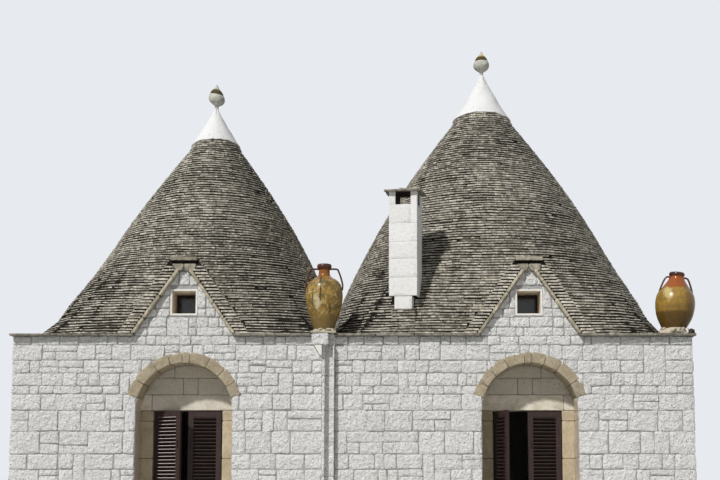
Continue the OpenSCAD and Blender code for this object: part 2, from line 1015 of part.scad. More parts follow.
left_floor();
right_floor();
front_wall_left();
front_wall_middle();
front_wall_right();
left_door_wall();
right_door_wall();
back_wall();
left_wall();
right_wall();
middle_wall();
left_arch();
right_arch();
left_tympanum();
right_tympanum();
left_door_frame();
right_door_frame();
left_gable();
right_gable();
left_gable_roof();
right_gable_roof();
window_frames();
window_sashes();
window_panes();
front_eaves();
back_eaves();
side_eaves();
valley_slab();
left_cone();
right_cone();
left_cap();
right_cap();
left_finial();
right_finial();
chimney_shaft();
chimney_cap();
middle_jar();
right_jar();
jar_beds();
spout_block();
rain_channel();
left_door_left_shutter();
left_door_right_shutter();
right_door_left_shutter();
right_door_right_shutter();
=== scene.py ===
"""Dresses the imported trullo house: whitewashed masonry, dry-stone cones, glazed jars, wood and plaster."""

import math
import random

import bpy
from bpy.props import FloatProperty, FloatVectorProperty, PointerProperty
from mathutils import Matrix, Vector, noise
from mathutils.bvhtree import BVHTree


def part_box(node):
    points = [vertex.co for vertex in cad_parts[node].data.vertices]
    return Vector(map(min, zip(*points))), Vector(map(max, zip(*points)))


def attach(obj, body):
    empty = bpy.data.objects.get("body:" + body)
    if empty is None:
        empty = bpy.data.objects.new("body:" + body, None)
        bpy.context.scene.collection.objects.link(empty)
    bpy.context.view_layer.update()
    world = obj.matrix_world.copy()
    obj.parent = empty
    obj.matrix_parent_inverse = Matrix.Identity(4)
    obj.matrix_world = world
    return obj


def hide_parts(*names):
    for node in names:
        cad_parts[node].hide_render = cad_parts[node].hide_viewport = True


bl_info = {
    "name": "Trullo House Finish",
    "version": (1, 0, 0),
    "blender": (4, 5, 0),
    "location": "View3D > Sidebar > Trullo",
    "description": "Lays the stones, slabs, plaster and glaze of a trullo house round its packed frame",
    "category": "Object",
}

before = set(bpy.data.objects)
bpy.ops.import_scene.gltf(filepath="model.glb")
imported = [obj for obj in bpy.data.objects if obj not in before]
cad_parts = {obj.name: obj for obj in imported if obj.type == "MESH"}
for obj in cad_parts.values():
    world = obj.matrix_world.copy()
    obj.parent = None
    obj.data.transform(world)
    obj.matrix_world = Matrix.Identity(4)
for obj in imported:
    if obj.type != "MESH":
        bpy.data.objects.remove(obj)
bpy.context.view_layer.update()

HOUSE = "house"
UP = Vector((0, 0, 1))

# Planes and levels of the house, read from the frame
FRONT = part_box("front_wall_left")[0].y
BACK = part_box("back_wall")[1].y
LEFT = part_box("front_wall_left")[0].x
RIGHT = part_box("front_wall_right")[1].x
WALL_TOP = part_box("front_wall_left")[1].z
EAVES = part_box("front_eaves")[1].z
EAVES_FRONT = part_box("front_eaves")[0].y
EAVES_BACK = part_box("back_eaves")[1].y
EAVES_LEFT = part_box("side_eaves")[0].x
EAVES_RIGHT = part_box("side_eaves")[1].x
INNER_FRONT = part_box("front_wall_left")[1].y
INNER_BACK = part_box("back_wall")[0].y
VALLEY = (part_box("left_cone")[1].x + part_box("right_cone")[0].x) / 2

# Distance within which two levels or points count as the same
NEAR = 0.0005


def corners(node):
    """The corner points of a CAD node."""
    return [vertex.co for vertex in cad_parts[node].data.vertices]


def surface(node):
    """A CAD node as a tree that rays can be cast at."""
    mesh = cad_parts[node].data
    return BVHTree.FromPolygons(corners(node), [face.vertices for face in mesh.polygons])


# Angles of the joints of the arch ring, in degrees over the springing
RING_JOINTS = (16, 30, 46, 64, 84.5, 92.5, 107, 124, 147, 164)
# Levels of the joints of the jambs and of the niche's lining
JAMB_JOINTS = (0.80, 1.36, 1.99)
# How far the stones of the wall run in behind the arch ring
RING_COVER = 0.05


class Doorway:
    """The measures of one doorway and of the gable over it, from its CAD nodes."""

    def __init__(self, side):
        wall_low, wall_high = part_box(f"{side}_door_wall")
        frame_low, frame_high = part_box(f"{side}_door_frame")
        arch_low, arch_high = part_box(f"{side}_arch")
        gable_low, gable_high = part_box(f"{side}_gable")
        roof_low, roof_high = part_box(f"{side}_gable_roof")
        self.side = side
        self.flip = 1 if side == "left" else -1
        self.x = (wall_low.x + wall_high.x) / 2
        self.ring = (wall_high.x - wall_low.x) / 2
        self.niche = (frame_high.x - frame_low.x) / 2
        self.spring = arch_high.z - self.ring
        self.ring_foot = self.spring + self.ring * math.sin(math.radians(RING_JOINTS[0]))
        self.face = frame_low.y
        self.ring_face = arch_low.y
        self.lintel_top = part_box(f"{side}_tympanum")[0].z
        jambs = corners(f"{side}_door_frame")
        self.half = min(abs(p.x - self.x) for p in jambs)
        self.top = max(p.z for p in jambs if abs(p.x - self.x) < self.half + NEAR)
        self.gable_x = (gable_low.x + gable_high.x) / 2
        self.gable_half = (gable_high.x - gable_low.x) / 2
        self.gable_top = gable_high.z
        self.roof_half = (roof_high.x - roof_low.x) / 2
        self.roof_top = roof_high.z
        self.roof_face = roof_low.y
        self.roof_back = roof_high.y
        self.ridge_half = max(p.x for p in corners(f"{side}_gable_roof")
                              if p.z > self.roof_top - NEAR) - self.gable_x
        self.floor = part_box(f"{side}_floor")[1].z

    def rake(self, level):
        """Distances of the inner and outer edge of a rake from the middle of the gable."""
        rise = level - EAVES
        inner = self.gable_half * max(0.0, 1 - rise / (self.gable_top - EAVES))
        narrowing = (self.ridge_half - self.roof_half) * rise / (self.roof_top - EAVES)
        return inner, self.roof_half + narrowing

    def opening(self, level):
        """Radius that the stones of the wall leave free at a level."""
        return self.niche if level < self.ring_foot else self.ring - RING_COVER

    def block(self, v0, v1):
        """The stretch that the doorway takes from a course."""
        rise = max(0.0, v1 - self.spring)
        half = math.sqrt(max(0.0, self.opening(v0) ** 2 - rise ** 2))
        return (self.x - half, self.x + half) if half > 0.01 else None

    def cut(self, outline):
        """Trims a stone beside the doorway to its round arch."""
        level = sum(p[1] for p in outline) / len(outline)
        if level < self.spring:
            return outline
        return outside_circle(outline, (self.x, self.spring), self.opening(level))


DOORWAYS = {side: Doorway(side) for side in ("left", "right")}


class Plane:
    """A face of the house: u runs across it, v up it and w out of it."""

    def __init__(self, origin, across, up=(0, 0, 1)):
        self.origin = Vector(origin)
        self.across = Vector(across).normalized()
        self.up = Vector(up).normalized()
        self.out = self.across.cross(self.up)

    def at(self, u, v, w):
        return self.origin + self.across * u + self.up * v + self.out * w


class Shaft:
    """The measures of the chimney, which stands turned on the right cone."""
    # How far the narrow foot shows under the shaft
    foot_shown = 0.215

    def __init__(self):
        cap = corners("chimney_cap")
        shaft = corners("chimney_shaft")
        low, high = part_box("chimney_cap")
        across = min(cap, key=lambda p: p.y) - min(cap, key=lambda p: p.x)
        across.z = 0
        self.across = across.normalized()
        self.deep = UP.cross(self.across)
        self.middle = Vector(((low.x + high.x) / 2, (low.y + high.y) / 2, 0))
        self.half = max((p - self.middle).dot(self.across) for p in shaft)
        self.cap_half = across.length / 2
        self.cap_low, self.cap_high = low.z, high.z
        front = min(p.y for p in shaft)
        self.low = min(p.z for p in shaft if p.y < front + NEAR)
        below = [p for p in shaft if p.z < self.low - 0.05]
        self.foot_low = min(p.z for p in below)
        self.foot_half = max((p - self.middle).dot(self.across) for p in below)
        self.foot_face = max(-(p - self.middle).dot(self.deep) for p in below)

    def covers(self, point):
        """Whether the chimney stands over a point of the cone."""
        offset = point - self.middle
        half = self.half - 0.09 if point.z > self.low else self.foot_half - 0.03
        return self.foot_low < point.z < self.cap_low and abs(offset.dot(self.across)) < half and \
            abs(offset.dot(self.deep)) < self.half

    def face(self, turns, reach):
        """One face of the shaft, after a number of quarter turns from its front."""
        across, deep = self.across, self.deep
        for _ in range(turns):
            across, deep = deep, -across
        return Plane(self.middle - deep * reach, across)


SHAFT = Shaft()


def metres(name, default, description):
    return FloatProperty(name=name, default=default, unit="LENGTH", description=description)


def factor(name, default, description):
    return FloatProperty(name=name, default=default, subtype="FACTOR", description=description)


def degrees(name, angle, description):
    return FloatProperty(name=name, default=math.radians(angle), subtype="ANGLE", description=description)


def colour_property(name, default, description):
    return FloatVectorProperty(name=name, size=3, subtype="COLOR", min=0, max=1, default=default,
                               description=description)


class WallSizes(bpy.types.PropertyGroup):
    """Sizes of the whitewashed masonry"""
    proud: metres("Stone Relief", 0.018, "How far the stones stand out from the mortar")
    joint: metres("Joint", 0.011, "Width of the joints between the stones")
    bevel: metres("Worn Edge", 0.011, "Width of the worn edges of the stones")
    rough: metres("Face Relief", 0.012, "Unevenness of the faces of the stones")
    grain: metres("Face Step", 0.062, "Spacing of the points along the edges of a stone")
    short: metres("Shortest Stone", 0.15, "Length of the shortest stones")
    long: metres("Longest Stone", 0.60, "Length of the longest stones")


class RoofSizes(bpy.types.PropertyGroup):
    """Sizes of the dry-stone slabs"""
    pitch: metres("Course Height", 0.051, "Height of one course of roof slabs")
    short: metres("Shortest Slab", 0.09, "Length of the shortest roof slabs")
    long: metres("Longest Slab", 0.36, "Length of the longest roof slabs")
    thinnest: factor("Thinnest Slab", 0.47, "Thickness of the thinnest slabs, as a share of a course")
    thickest: factor("Thickest Slab", 0.65, "Thickness of the thickest slabs, as a share of a course")
    proud: metres("Slab Relief", 0.022, "How far the slabs reach out of the cone's core at most")
    depth: metres("Slab Depth", 0.10, "How far the slabs run into the roof")
    gap: metres("Slab Gap", 0.007, "Open joint between neighbouring slabs")


class Colours(bpy.types.PropertyGroup):
    """Colours of the finishes"""
    whitewash: colour_property("Whitewash", (0.93, 0.927, 0.92), "Limewash on the walls")
    plaster: colour_property("Plaster", (0.83, 0.835, 0.84), "Lime plaster of the caps")
    warm_stone: colour_property("Warm Stone", (0.48, 0.415, 0.305), "Bare limestone of the arches")
    roof_light: colour_property("Roof Light", (0.72, 0.68, 0.59), "Lightest roof slabs")
    roof_dark: colour_property("Roof Dark", (0.165, 0.149, 0.121), "Darkest roof slabs")
    wood: colour_property("Wood", (0.034, 0.0185, 0.016), "Stained wood of the shutters")
    glaze: colour_property("Glaze", (0.35, 0.23, 0.052), "Ochre glaze of the jars")


class StageLook(bpy.types.PropertyGroup):
    """Light and camera"""
    lens: FloatProperty(name="Lens", default=72.32, description="Focal length of the camera in millimetres")
    distance: metres("Distance", 27.2, "Distance of the camera from the middle of the house")
    eye: metres("Eye Height", 0.8, "Height of the camera over the ground")
    tilt: degrees("Tilt", 97.3747, "Upward tilt of the camera, where a right angle looks level")
    sun: FloatProperty(name="Key Light", default=2.9, description="Strength of the soft key light")
    spread: degrees("Key Size", 3, "Angle that the key light fills")
    fill: FloatProperty(name="Fill Light", default=0.215, description="Strength of the even light around")


def arithmetic(operation, is_reflected=False):
    """A method that adds a Math node for an operator."""
    def method(self, other):
        first, second = (other, self) if is_reflected else (self, other)
        return self.finish.node("ShaderNodeMath", {"operation": operation}, {0: first, 1: second})
    return method


class Value:
    """A shader value: arithmetic on it adds Math nodes."""
    __add__, __radd__ = arithmetic("ADD"), arithmetic("ADD", True)
    __sub__, __rsub__ = arithmetic("SUBTRACT"), arithmetic("SUBTRACT", True)
    __mul__, __rmul__ = arithmetic("MULTIPLY"), arithmetic("MULTIPLY", True)
    __truediv__, __rtruediv__ = arithmetic("DIVIDE"), arithmetic("DIVIDE", True)
    __pow__, __rpow__ = arithmetic("POWER"), arithmetic("POWER", True)

    def __init__(self, finish, socket):
        self.finish = finish
        self.socket = socket


# How far the marks of two stones lie apart in the pattern, for tones of 0 and 1
STONE_SHIFT = (37.0, 17.0, 53.0)


class Finish:
    """One material, whose nodes end on its Principled shader; its colour is what is painted so far."""
    colour = (1.0, 1.0, 1.0)

    def __init__(self, name, roughness, specular):
        self.material = bpy.data.materials.new(name)
        self.material.use_nodes = True
        self.tree = self.material.node_tree
        self.shader = self.tree.nodes["Principled BSDF"]
        self.shader.inputs["Roughness"].default_value = roughness
        self.shader.inputs["Specular IOR Level"].default_value = specular

    def node(self, kind, settings=None, inputs=None, output=0):
        """Adds a node: its settings come first, then the values or links of its sockets."""
        made = self.tree.nodes.new(kind)
        for key, value in (settings or {}).items():
            setattr(made, key, value)
        for key, value in (inputs or {}).items():
            self.feed(made.inputs[key], value)
        return Value(self, made.outputs[output])

    def feed(self, socket, value):
        if isinstance(value, Value):
            self.tree.links.new(value.socket, socket)
        elif isinstance(value, (tuple, list, Vector)) and socket.type == "RGBA":
            socket.default_value = (*value[:3], 1.0)
        else:
            socket.default_value = value

    def place(self):
        return self.node("ShaderNodeTexCoord", output=3)

    def attribute(self, name):
        return self.node("ShaderNodeAttribute", {"attribute_name": name}, output=2)

    def shifted(self, spot, amount):
        """The place moved by a value of the stone, so that no two stones share their marks."""
        return self.node("ShaderNodeVectorMath", {"operation": "MULTIPLY_ADD"},
                         {0: amount, 1: STONE_SHIFT, 2: spot})

    def stretched(self, spot, scale):
        return self.node("ShaderNodeVectorMath", {"operation": "MULTIPLY"}, {0: spot, 1: scale})

    def cloud(self, spot, scale, detail=4.0, roughness=0.55, distortion=0.0):
        return self.node("ShaderNodeTexNoise",
                         inputs={"Vector": spot, "Scale": scale, "Detail": detail,
                                 "Roughness": roughness, "Distortion": distortion})

    def cells(self, spot, scale):
        return self.node("ShaderNodeTexVoronoi", inputs={"Vector": spot, "Scale": scale})

    def step(self, value, low, high):
        """Rises smoothly from 0 at low to 1 at high."""
        return self.node("ShaderNodeMapRange", {"interpolation_type": "SMOOTHSTEP"},
                         {"Value": value, "From Min": low, "From Max": high})

    def part(self, spot, axis):
        """One part of a place, where axis is 0, 1 or 2 for x, y or z."""
        return self.node("ShaderNodeSeparateXYZ", inputs={0: spot}, output=axis)

    def band(self, value, middle, half, soft):
        """1 within half of the middle, and 0 beyond."""
        away = self.node("ShaderNodeMath", {"operation": "ABSOLUTE"}, {0: value - middle})
        return self.step(away, half + soft, half)

    def mix(self, share, first, second):
        return self.node("ShaderNodeMix", {"data_type": "RGBA"}, {0: share, 6: first, 7: second}, output=2)

    def cover(self, share, colour):
        """Paints a colour over a share of the colour so far."""
        self.colour = self.mix(share, self.colour, colour)

    def stain(self, share, colour, tint):
        """Covers a share with a tint of a colour."""
        self.cover(share, tinted(colour, tint))

    def gloss(self, value):
        self.feed(self.shader.inputs["Roughness"], value)

    def done(self, height, distance, strength=1.0):
        """Feeds the colour and the relief to the shader, and gives the material."""
        bump = self.node("ShaderNodeBump", inputs={"Height": height, "Distance": distance,
                                                   "Strength": strength})
        self.feed(self.shader.inputs["Normal"], bump)
        self.feed(self.shader.inputs["Base Color"], self.colour)
        return self.material


def shade(colour, amount):
    """A colour made darker or lighter."""
    return tuple(min(1.0, part * amount) for part in colour)


def tinted(colour, tint):
    """A colour times a tint."""
    return tuple(min(1.0, a * b) for a, b in zip(colour, tint))


def whitewash_finish(name, colour, grime=0.35, has_stones=True, relief=0.12):
    """Many coats of limewash over stone: soft, pitted, and greyed where rain runs."""
    made = Finish(name, 0.92, 0.2)
    spot = made.place()
    tone = made.attribute("tone")
    own = made.shifted(spot, tone) if has_stones else spot
    broad = made.cloud(spot, 0.9, 3.0)
    patches = made.cloud(own, 7.0, 5.0, 0.62)
    hewn = made.cloud(own, 17.0, 4.0, 0.6, 0.4)
    grains = made.cloud(own, 46.0, 5.0, 0.7)
    pits = made.step(made.cells(own, 24.0), 0.30, 0.08) * made.step(hewn, 0.47, 0.60)
    streaks = made.cloud(made.stretched(spot, (7.0, 7.0, 0.5)), 1.0, 5.0, 0.6)
    dirt = made.step(streaks, 0.52, 0.78) * made.step(broad, 0.42, 0.7) * grime
    stain = made.step(patches, 0.50, 0.76) * (0.45 * grime)
    made.colour = made.mix(made.step(broad, 0.35, 0.68) * 0.5, colour, tinted(colour, (0.96, 0.955, 0.93)))
    made.stain(dirt, colour, (0.60, 0.585, 0.55))
    made.stain(stain, colour, (0.74, 0.71, 0.64))
    made.stain(made.step(hewn, 0.50, 0.28) * 0.38, colour, (0.66, 0.655, 0.64))
    made.stain(pits * 0.7, colour, (0.36, 0.35, 0.33))
    if has_stones:
        made.stain(made.step(tone, 0.55, 1.0) * 0.35, colour, (0.86, 0.85, 0.83))
    return made.done(patches * 0.5 + hewn * 0.55 + grains * 0.2 - pits * 0.3, relief)


def plaster_finish(name, colour):
    """Trowelled lime plaster of a cap, with grey lichen specks in patches."""
    made = Finish(name, 0.85, 0.25)
    spot = made.place()
    broad = made.cloud(spot, 2.2, 3.0)
    strokes = made.cloud(made.stretched(spot, (9.0, 9.0, 3.0)), 1.0, 5.0, 0.6)
    specks = made.cloud(spot, 26.0, 6.0, 0.75)
    lichen = made.step(specks, 0.54, 0.66) * made.step(broad, 0.42, 0.60)
    made.colour = made.mix(made.step(strokes, 0.45, 0.75) * 0.35, colour, tinted(colour, (0.88, 0.88, 0.87)))
    made.cover(lichen * 0.75, (0.20, 0.19, 0.165))
    return made.done(strokes * 0.8 + specks * 0.25, 0.008, 0.7)


def dressed_finish(name, colour, relief=0.008):
    """Bare tufa and limestone of the arches and jambs, cut smooth and browned by weather."""
    made = Finish(name, 0.9, 0.2)
    spot = made.place()
    tone = made.attribute("tone")
    own = made.shifted(spot, tone)
    patches = made.cloud(own, 5.0, 5.0, 0.6)
    hewn = made.cloud(own, 18.0, 4.0, 0.62)
    grains = made.cloud(own, 60.0, 5.0, 0.7)
    holes = made.step(made.cells(own, 42.0), 0.14, 0.02) * made.step(patches, 0.4, 0.6)
    made.colour = made.mix(made.step(patches, 0.38, 0.68) * 0.75, tinted(colour, (1.12, 1.10, 1.06)),
                           tinted(colour, (0.80, 0.77, 0.70)))
    made.stain(made.step(tone, 0.3, 1.0) * 0.6, colour, (0.84, 0.84, 0.86))
    made.stain(made.step(hewn, 0.52, 0.34) * 0.4, colour, (0.66, 0.62, 0.56))
    made.stain(made.step(grains, 0.56, 0.72) * 0.35, colour, (0.55, 0.50, 0.42))
    made.stain(holes * 0.7, colour, (0.36, 0.32, 0.26))
    return made.done(patches * 0.4 + hewn * 0.5 + grains * 0.3 - holes * 0.4, relief)


# Near-black of soot in the flue, also used as painted shade on the chimney's hidden foot
SOOT_AND_SHADE = (0.035, 0.028, 0.022)


def flue_share(made, spot):
    """1 inside the flue of the chimney and right above it, and 0 elsewhere."""
    x, y = made.part(spot, 0) - SHAFT.middle.x, made.part(spot, 1) - SHAFT.middle.y
    across = x * SHAFT.across.x + y * SHAFT.across.y
    deep = x * SHAFT.deep.x + y * SHAFT.deep.y
    inner = SHAFT.half - 0.02
    below = made.step(made.part(spot, 2), SHAFT.cap_low + 0.02, SHAFT.cap_low + 0.01)
    return made.band(across, 0.0, inner, 0.01) * made.band(deep, 0.0, inner, 0.01) * below


def roof_finish(name, light, dark, sooty=False):
    """Split limestone slabs: each with its own grey, with lichen crusts, a little moss and paler patches."""
    made = Finish(name, 0.93, 0.15)
    spot = made.place()
    tone = made.attribute("tone")
    own = made.shifted(spot, tone)
    patches = made.cloud(own, 13.0, 5.0, 0.65)
    grains = made.cloud(made.stretched(own, (1.0, 1.0, 2.6)), 60.0, 5.0, 0.72)
    crust = made.step(made.cloud(spot, 5.5, 6.0, 0.72), 0.55, 0.66)
    moss = made.step(made.cloud(spot, 2.4, 5.0, 0.7), 0.57, 0.72)
    made.colour = made.mix(tone, dark, light)
    made.stain(made.step(patches, 0.46, 0.66) * 0.65, dark, (0.60, 0.58, 0.56))
    made.stain(made.step(patches, 0.50, 0.32) * 0.75, light, (1.25, 1.23, 1.18))
    made.stain(crust * made.step(grains, 0.4, 0.6) * 0.5, dark, (0.42, 0.40, 0.40))
    made.stain(moss * 0.22, light, (0.78, 0.70, 0.50))
    if sooty:
        made.cover(flue_share(made, spot), SOOT_AND_SHADE)
    return made.done(patches * 0.8 + grains * 0.6, 0.010, 0.9)


def soot_finish(name, colour):
    """Limewash on the outside of the chimney, soot inside its flue, and the same near-black as painted shade
    on its foot where it is hidden behind the slabs.
    """
    made = Finish(name, 0.95, 0.1)
    spot = made.place()
    clouds = made.cloud(spot, 14.0, 4.0, 0.6)
    made.colour = made.mix(flue_share(made, spot) * (0.82 + clouds * 0.3), colour, SOOT_AND_SHADE)
    # Painted shade: the foot below what shows is painted the same near-black, so it reads dark between the
    # slabs
    shown = SHAFT.low - SHAFT.foot_shown
    under = made.step(made.part(spot, 2), shown, shown - 0.01)
    made.cover(under, SOOT_AND_SHADE)
    return made.done(clouds, 0.01, 0.8)


def core_finish(name, colour):
    """Packed earth and chips behind the slabs, painted near-black as painted shade, so that the gaps between
    the slabs read dark.
    """
    made = Finish(name, 1.0, 0.05)
    spot = made.place()
    chips = made.cloud(spot, 22.0, 4.0, 0.7)
    made.colour = made.mix(made.step(chips, 0.4, 0.65), shade(colour, 0.05), shade(colour, 0.20))
    return made.done(chips, 0.012, 0.9)


def wood_finish(name, colour, painted_light_and_dust):
    """Stained wood with grain along the boards; faces that look upwards, such as the sloping tops of the
    louvres, are painted paler, partly as dust and partly as painted light.
    """
    made = Finish(name, 0.55, 0.35)
    spot = made.place()
    grain = made.cloud(made.stretched(spot, (60.0, 60.0, 3.0)), 1.0, 6.0, 0.6, 0.6)
    level = made.cloud(made.stretched(spot, (4.0, 4.0, 90.0)), 1.0, 5.0, 0.6)
    worn = made.cloud(spot, 9.0, 5.0, 0.65)
    made.colour = made.mix(made.step(grain, 0.35, 0.7), shade(colour, 0.72), shade(colour, 1.45))
    made.cover(made.step(level, 0.5, 0.75) * 0.3, shade(colour, 2.4))
    made.cover(made.step(worn, 0.56, 0.76) * 0.4, tinted(shade(colour, 4.2), (1.0, 0.94, 0.90)))
    # Painted light and dust: faces that look upwards are painted pale, by as much as the share given
    upward = made.part(made.node("ShaderNodeNewGeometry", output=1), 2)
    made.cover(made.step(upward, 0.15, 0.45) * (0.75 + grain * 0.4) * painted_light_and_dust, (0.70, 0.62, 0.61))
    made.gloss(0.46 + grain * 0.3)
    return made.done(grain * 0.6 + worn * 0.2, 0.0016, 0.7)


def glass_finish(name):
    """A dusty pane, painted near-black as painted shade of the dark room behind it."""
    made = Finish(name, 0.12, 0.6)
    spot = made.place()
    dust = made.cloud(spot, 14.0, 5.0, 0.65)
    made.colour = made.mix(made.step(dust, 0.45, 0.8) * 0.5, (0.020, 0.022, 0.024), (0.10, 0.10, 0.095))
    made.gloss(0.08 + made.step(dust, 0.4, 0.8) * 0.35)
    return made.done(made.cloud(spot, 3.0, 2.0), 0.0015, 0.3)


def finial_finish(name, axis, foot, top, ring, slant):
    """Turned stone in three parts: a pale bowl, a lichened stopper and a whitened tip."""
    made = Finish(name, 0.88, 0.2)
    spot = made.place()
    level = (made.part(spot, 2) - foot + (made.part(spot, 0) - axis) * slant) / (top - foot)
    patches = made.cloud(spot, 16.0, 5.0, 0.65)
    grains = made.cloud(spot, 70.0, 4.0, 0.7)
    ragged = level + (patches - 0.5) * 0.06
    made.colour = made.mix(made.step(patches, 0.40, 0.66), (0.62, 0.615, 0.57), (0.40, 0.385, 0.32))
    made.cover(made.step(ragged, 0.55, 0.57), (0.085, 0.066, 0.030))
    made.cover(made.step(ragged, 0.725, 0.745), ring)
    made.cover(made.step(ragged, 0.79, 0.82), (0.60, 0.56, 0.52))
    made.cover(made.step(grains, 0.55, 0.70) * 0.4, (0.10, 0.095, 0.08))
    return made.done(patches * 0.8 + grains * 0.3, 0.006, 0.7)


def glaze_finish(name, jar, tints):
    """Lead glaze on a jar: dark rim, red-brown neck, ochre belly with green blots, olive-brown foot."""
    made = Finish(name, 0.28, 0.35)
    spot = made.place()
    across = made.part(spot, 0) - jar.foot.x
    level = (made.part(spot, 2) - jar.foot.z) / jar.height
    runs = made.cloud(made.stretched(spot, (22.0, 22.0, 2.4)), 1.0, 4.0, 0.6)
    patches = made.cloud(spot, 8.0, 5.0, 0.62, 0.5)
    blots = made.cloud(made.shifted(spot, (1.0, 1.0, 1.0)), 13.0, 6.0, 0.7, 0.8)
    specks = made.cloud(spot, 50.0, 4.0, 0.7)
    sharp = tints["sharp"]
    ragged = level + (runs - 0.5) * (sharp * 2.0) + (patches - 0.5) * sharp
    made.colour = tints["body"]
    made.stain(made.step(patches, 0.36, 0.62), tints["body"], (0.62, 0.58, 0.60))
    made.cover(made.step(blots, 0.48, 0.57) * tints["blots"], tints["green"])
    made.cover(made.step(blots, 0.43, 0.34) * tints["blots"], tints["pale"])
    made.cover(made.step(ragged, tints["low"] + sharp, tints["low"] - sharp) * 0.85, tints["foot"])
    made.cover(made.step(ragged, tints["high"] - sharp, tints["high"] + sharp * 0.6), tints["neck"])
    made.cover(made.step(ragged, 0.915, 0.945), tints["rim"])
    # A pale patch on the left of the belly: partly glaze worn pale, partly a painted highlight where the
    # light falls
    place, height = tints["worn"]
    away = ((across - place) / 0.07) ** 2 + ((level - height) / 0.13) ** 2 + (patches - 0.5) * 5.0
    made.cover(made.step(away, 1.6, 0.0) * 0.8, tints["pale"])
    # Drips darken the glaze down the front; the right jar's first is a wide band down its right side, painted
    # shade
    for place, low, high, half, share in tints["drips_and_painted_shade"]:
        wander = across + (patches - 0.5) * 0.06
        drip_and_shade = made.band(wander, place, half, half * 0.8 + 0.006) * made.step(ragged, low, low + 0.06)
        made.cover(drip_and_shade * made.step(level, high, high - 0.04) * share, tints["drip_and_shade"])
    made.stain(made.step(specks, 0.58, 0.68) * 0.4, tints["body"], (0.30, 0.32, 0.35))
    made.colour = made.mix(made.attribute("tone"), tints["rim"], made.colour)
    made.gloss(0.20 + made.step(patches, 0.45, 0.8) * 0.3)
    turned = made.cloud(made.stretched(spot, (2.0, 2.0, 46.0)), 1.0, 3.0)
    return made.done(turned * 0.7 + specks * 0.2, 0.0035, 0.6)


def floor_finish(name, colour):
    """Worn paving inside the rooms, of squared slabs."""
    made = Finish(name, 0.8, 0.25)
    spot = made.place()
    slabs = made.node("ShaderNodeTexBrick", {"offset": 0.5},
                      {"Vector": spot, "Scale": 1.0, "Mortar Size": 0.012, "Brick Width": 0.55,
                       "Row Height": 0.40, "Color1": tinted(colour, (1.05, 1.03, 1.0)),
                       "Color2": shade(colour, 0.84), "Mortar": shade(colour, 0.45)})
    wear = made.cloud(spot, 6.0, 5.0, 0.6)
    made.colour = made.mix(made.step(wear, 0.45, 0.75) * 0.5, slabs, shade(colour, 0.62))
    return made.done(wear, 0.006, 0.6)


def placed(name, data):
    """A new object in the scene."""
    made = bpy.data.objects.new(name, data)
    bpy.context.scene.collection.objects.link(made)
    return made


def faces_between(rings, count):
    """Faces between neighbouring rings of as many points each."""
    faces = []
    for a in range(0, (rings - 1) * count, count):
        for i in range(count):
            j = (i + 1) % count
            faces.append((a + i, a + j, a + count + j, a + count + i))
    return faces


class Heap:
    """Collects stones and makes one mesh of them, with a tone for each stone."""

    def __init__(self):
        self.points = []
        self.faces = []
        self.tones = []

    def add(self, points, faces, tone):
        first = len(self.points)
        self.points.extend(points)
        self.faces.extend([first + i for i in face] for face in faces)
        self.tones.extend([tone] * len(points))

    def add_rings(self, rings, tone=0.5):
        """Joins rings of as many points each, and closes the first and last with a fan."""
        count = len(rings[0])
        points = [point for ring in rings for point in ring]
        faces = faces_between(len(rings), count)
        first, last = len(points), len(points) - count
        points += [sum(ring, Vector()) / count for ring in (rings[0], rings[-1])]
        faces.extend(((i + 1) % count, i, first) for i in range(count))
        faces.extend((last + i, last + (i + 1) % count, first + 1) for i in range(count))
        self.add(points, faces, tone)

    def build(self, name, material, slot, replaces=(), crease=40):
        """Makes the mesh, and lets it ride on the house; no point lies below the ground."""
        mesh = bpy.data.meshes.new(name)
        for point in self.points:
            point.z = max(point.z, 0.0)
        mesh.from_pydata(self.points, [], self.faces)
        mesh.attributes.new("tone", "FLOAT", "POINT").data.foreach_set("value", self.tones)
        mesh.materials.append(material)
        mesh.polygons.foreach_set("use_smooth", [True] * len(mesh.polygons))
        mesh.set_sharp_from_angle(angle=math.radians(crease))
        piece = placed(name, mesh)
        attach(piece, HOUSE)
        if replaces:
            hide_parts(*replaces)


FRONT_PLANE = Plane((0, FRONT, 0), (1, 0, 0))
BACK_PLANE = Plane((0, BACK, 0), (-1, 0, 0))
LEFT_PLANE = Plane((LEFT, 0, 0), (0, -1, 0))
RIGHT_PLANE = Plane((RIGHT, 0, 0), (0, 1, 0))


def rectangle(u0, u1, v0, v1):
    return [(u0, v0), (u1, v0), (u1, v1), (u0, v1)]


def between(a, b, share):
    """A point on the way from a to b."""
    return a[0] + (b[0] - a[0]) * share, a[1] + (b[1] - a[1]) * share


def clip(outline, point, normal):
    """The part of a convex outline on the side that the normal points to."""
    kept = []
    for a, b in sides_of(outline):
        da = (a[0] - point[0]) * normal[0] + (a[1] - point[1]) * normal[1]
        db = (b[0] - point[0]) * normal[0] + (b[1] - point[1]) * normal[1]
        if da >= 0:
            kept.append(a)
        if da * db < 0:
            kept.append(between(a, b, da / (da - db)))
    return kept


def inside_circle(outline, middle, radius):
    """A convex outline cut to a round opening."""
    sides = 64
    for i in range(sides):
        turn = 2 * math.pi * i / sides
        normal = (-math.cos(turn), -math.sin(turn))
        edge = (middle[0] - normal[0] * radius, middle[1] - normal[1] * radius)
        outline = clip(outline, edge, normal)
    return outline


def outside_circle(outline, middle, radius):
    """A convex outline cut back along the tangent nearest to it."""
    u = min(max(middle[0], min(p[0] for p in outline)), max(p[0] for p in outline))
    v = min(max(middle[1], min(p[1] for p in outline)), max(p[1] for p in outline))
    away = math.hypot(u - middle[0], v - middle[1])
    if away >= radius:
        return outline
    if away < 1e-6:
        return []
    normal = ((u - middle[0]) / away, (v - middle[1]) / away)
    edge = (middle[0] + normal[0] * radius, middle[1] + normal[1] * radius)
    return clip(outline, edge, normal)


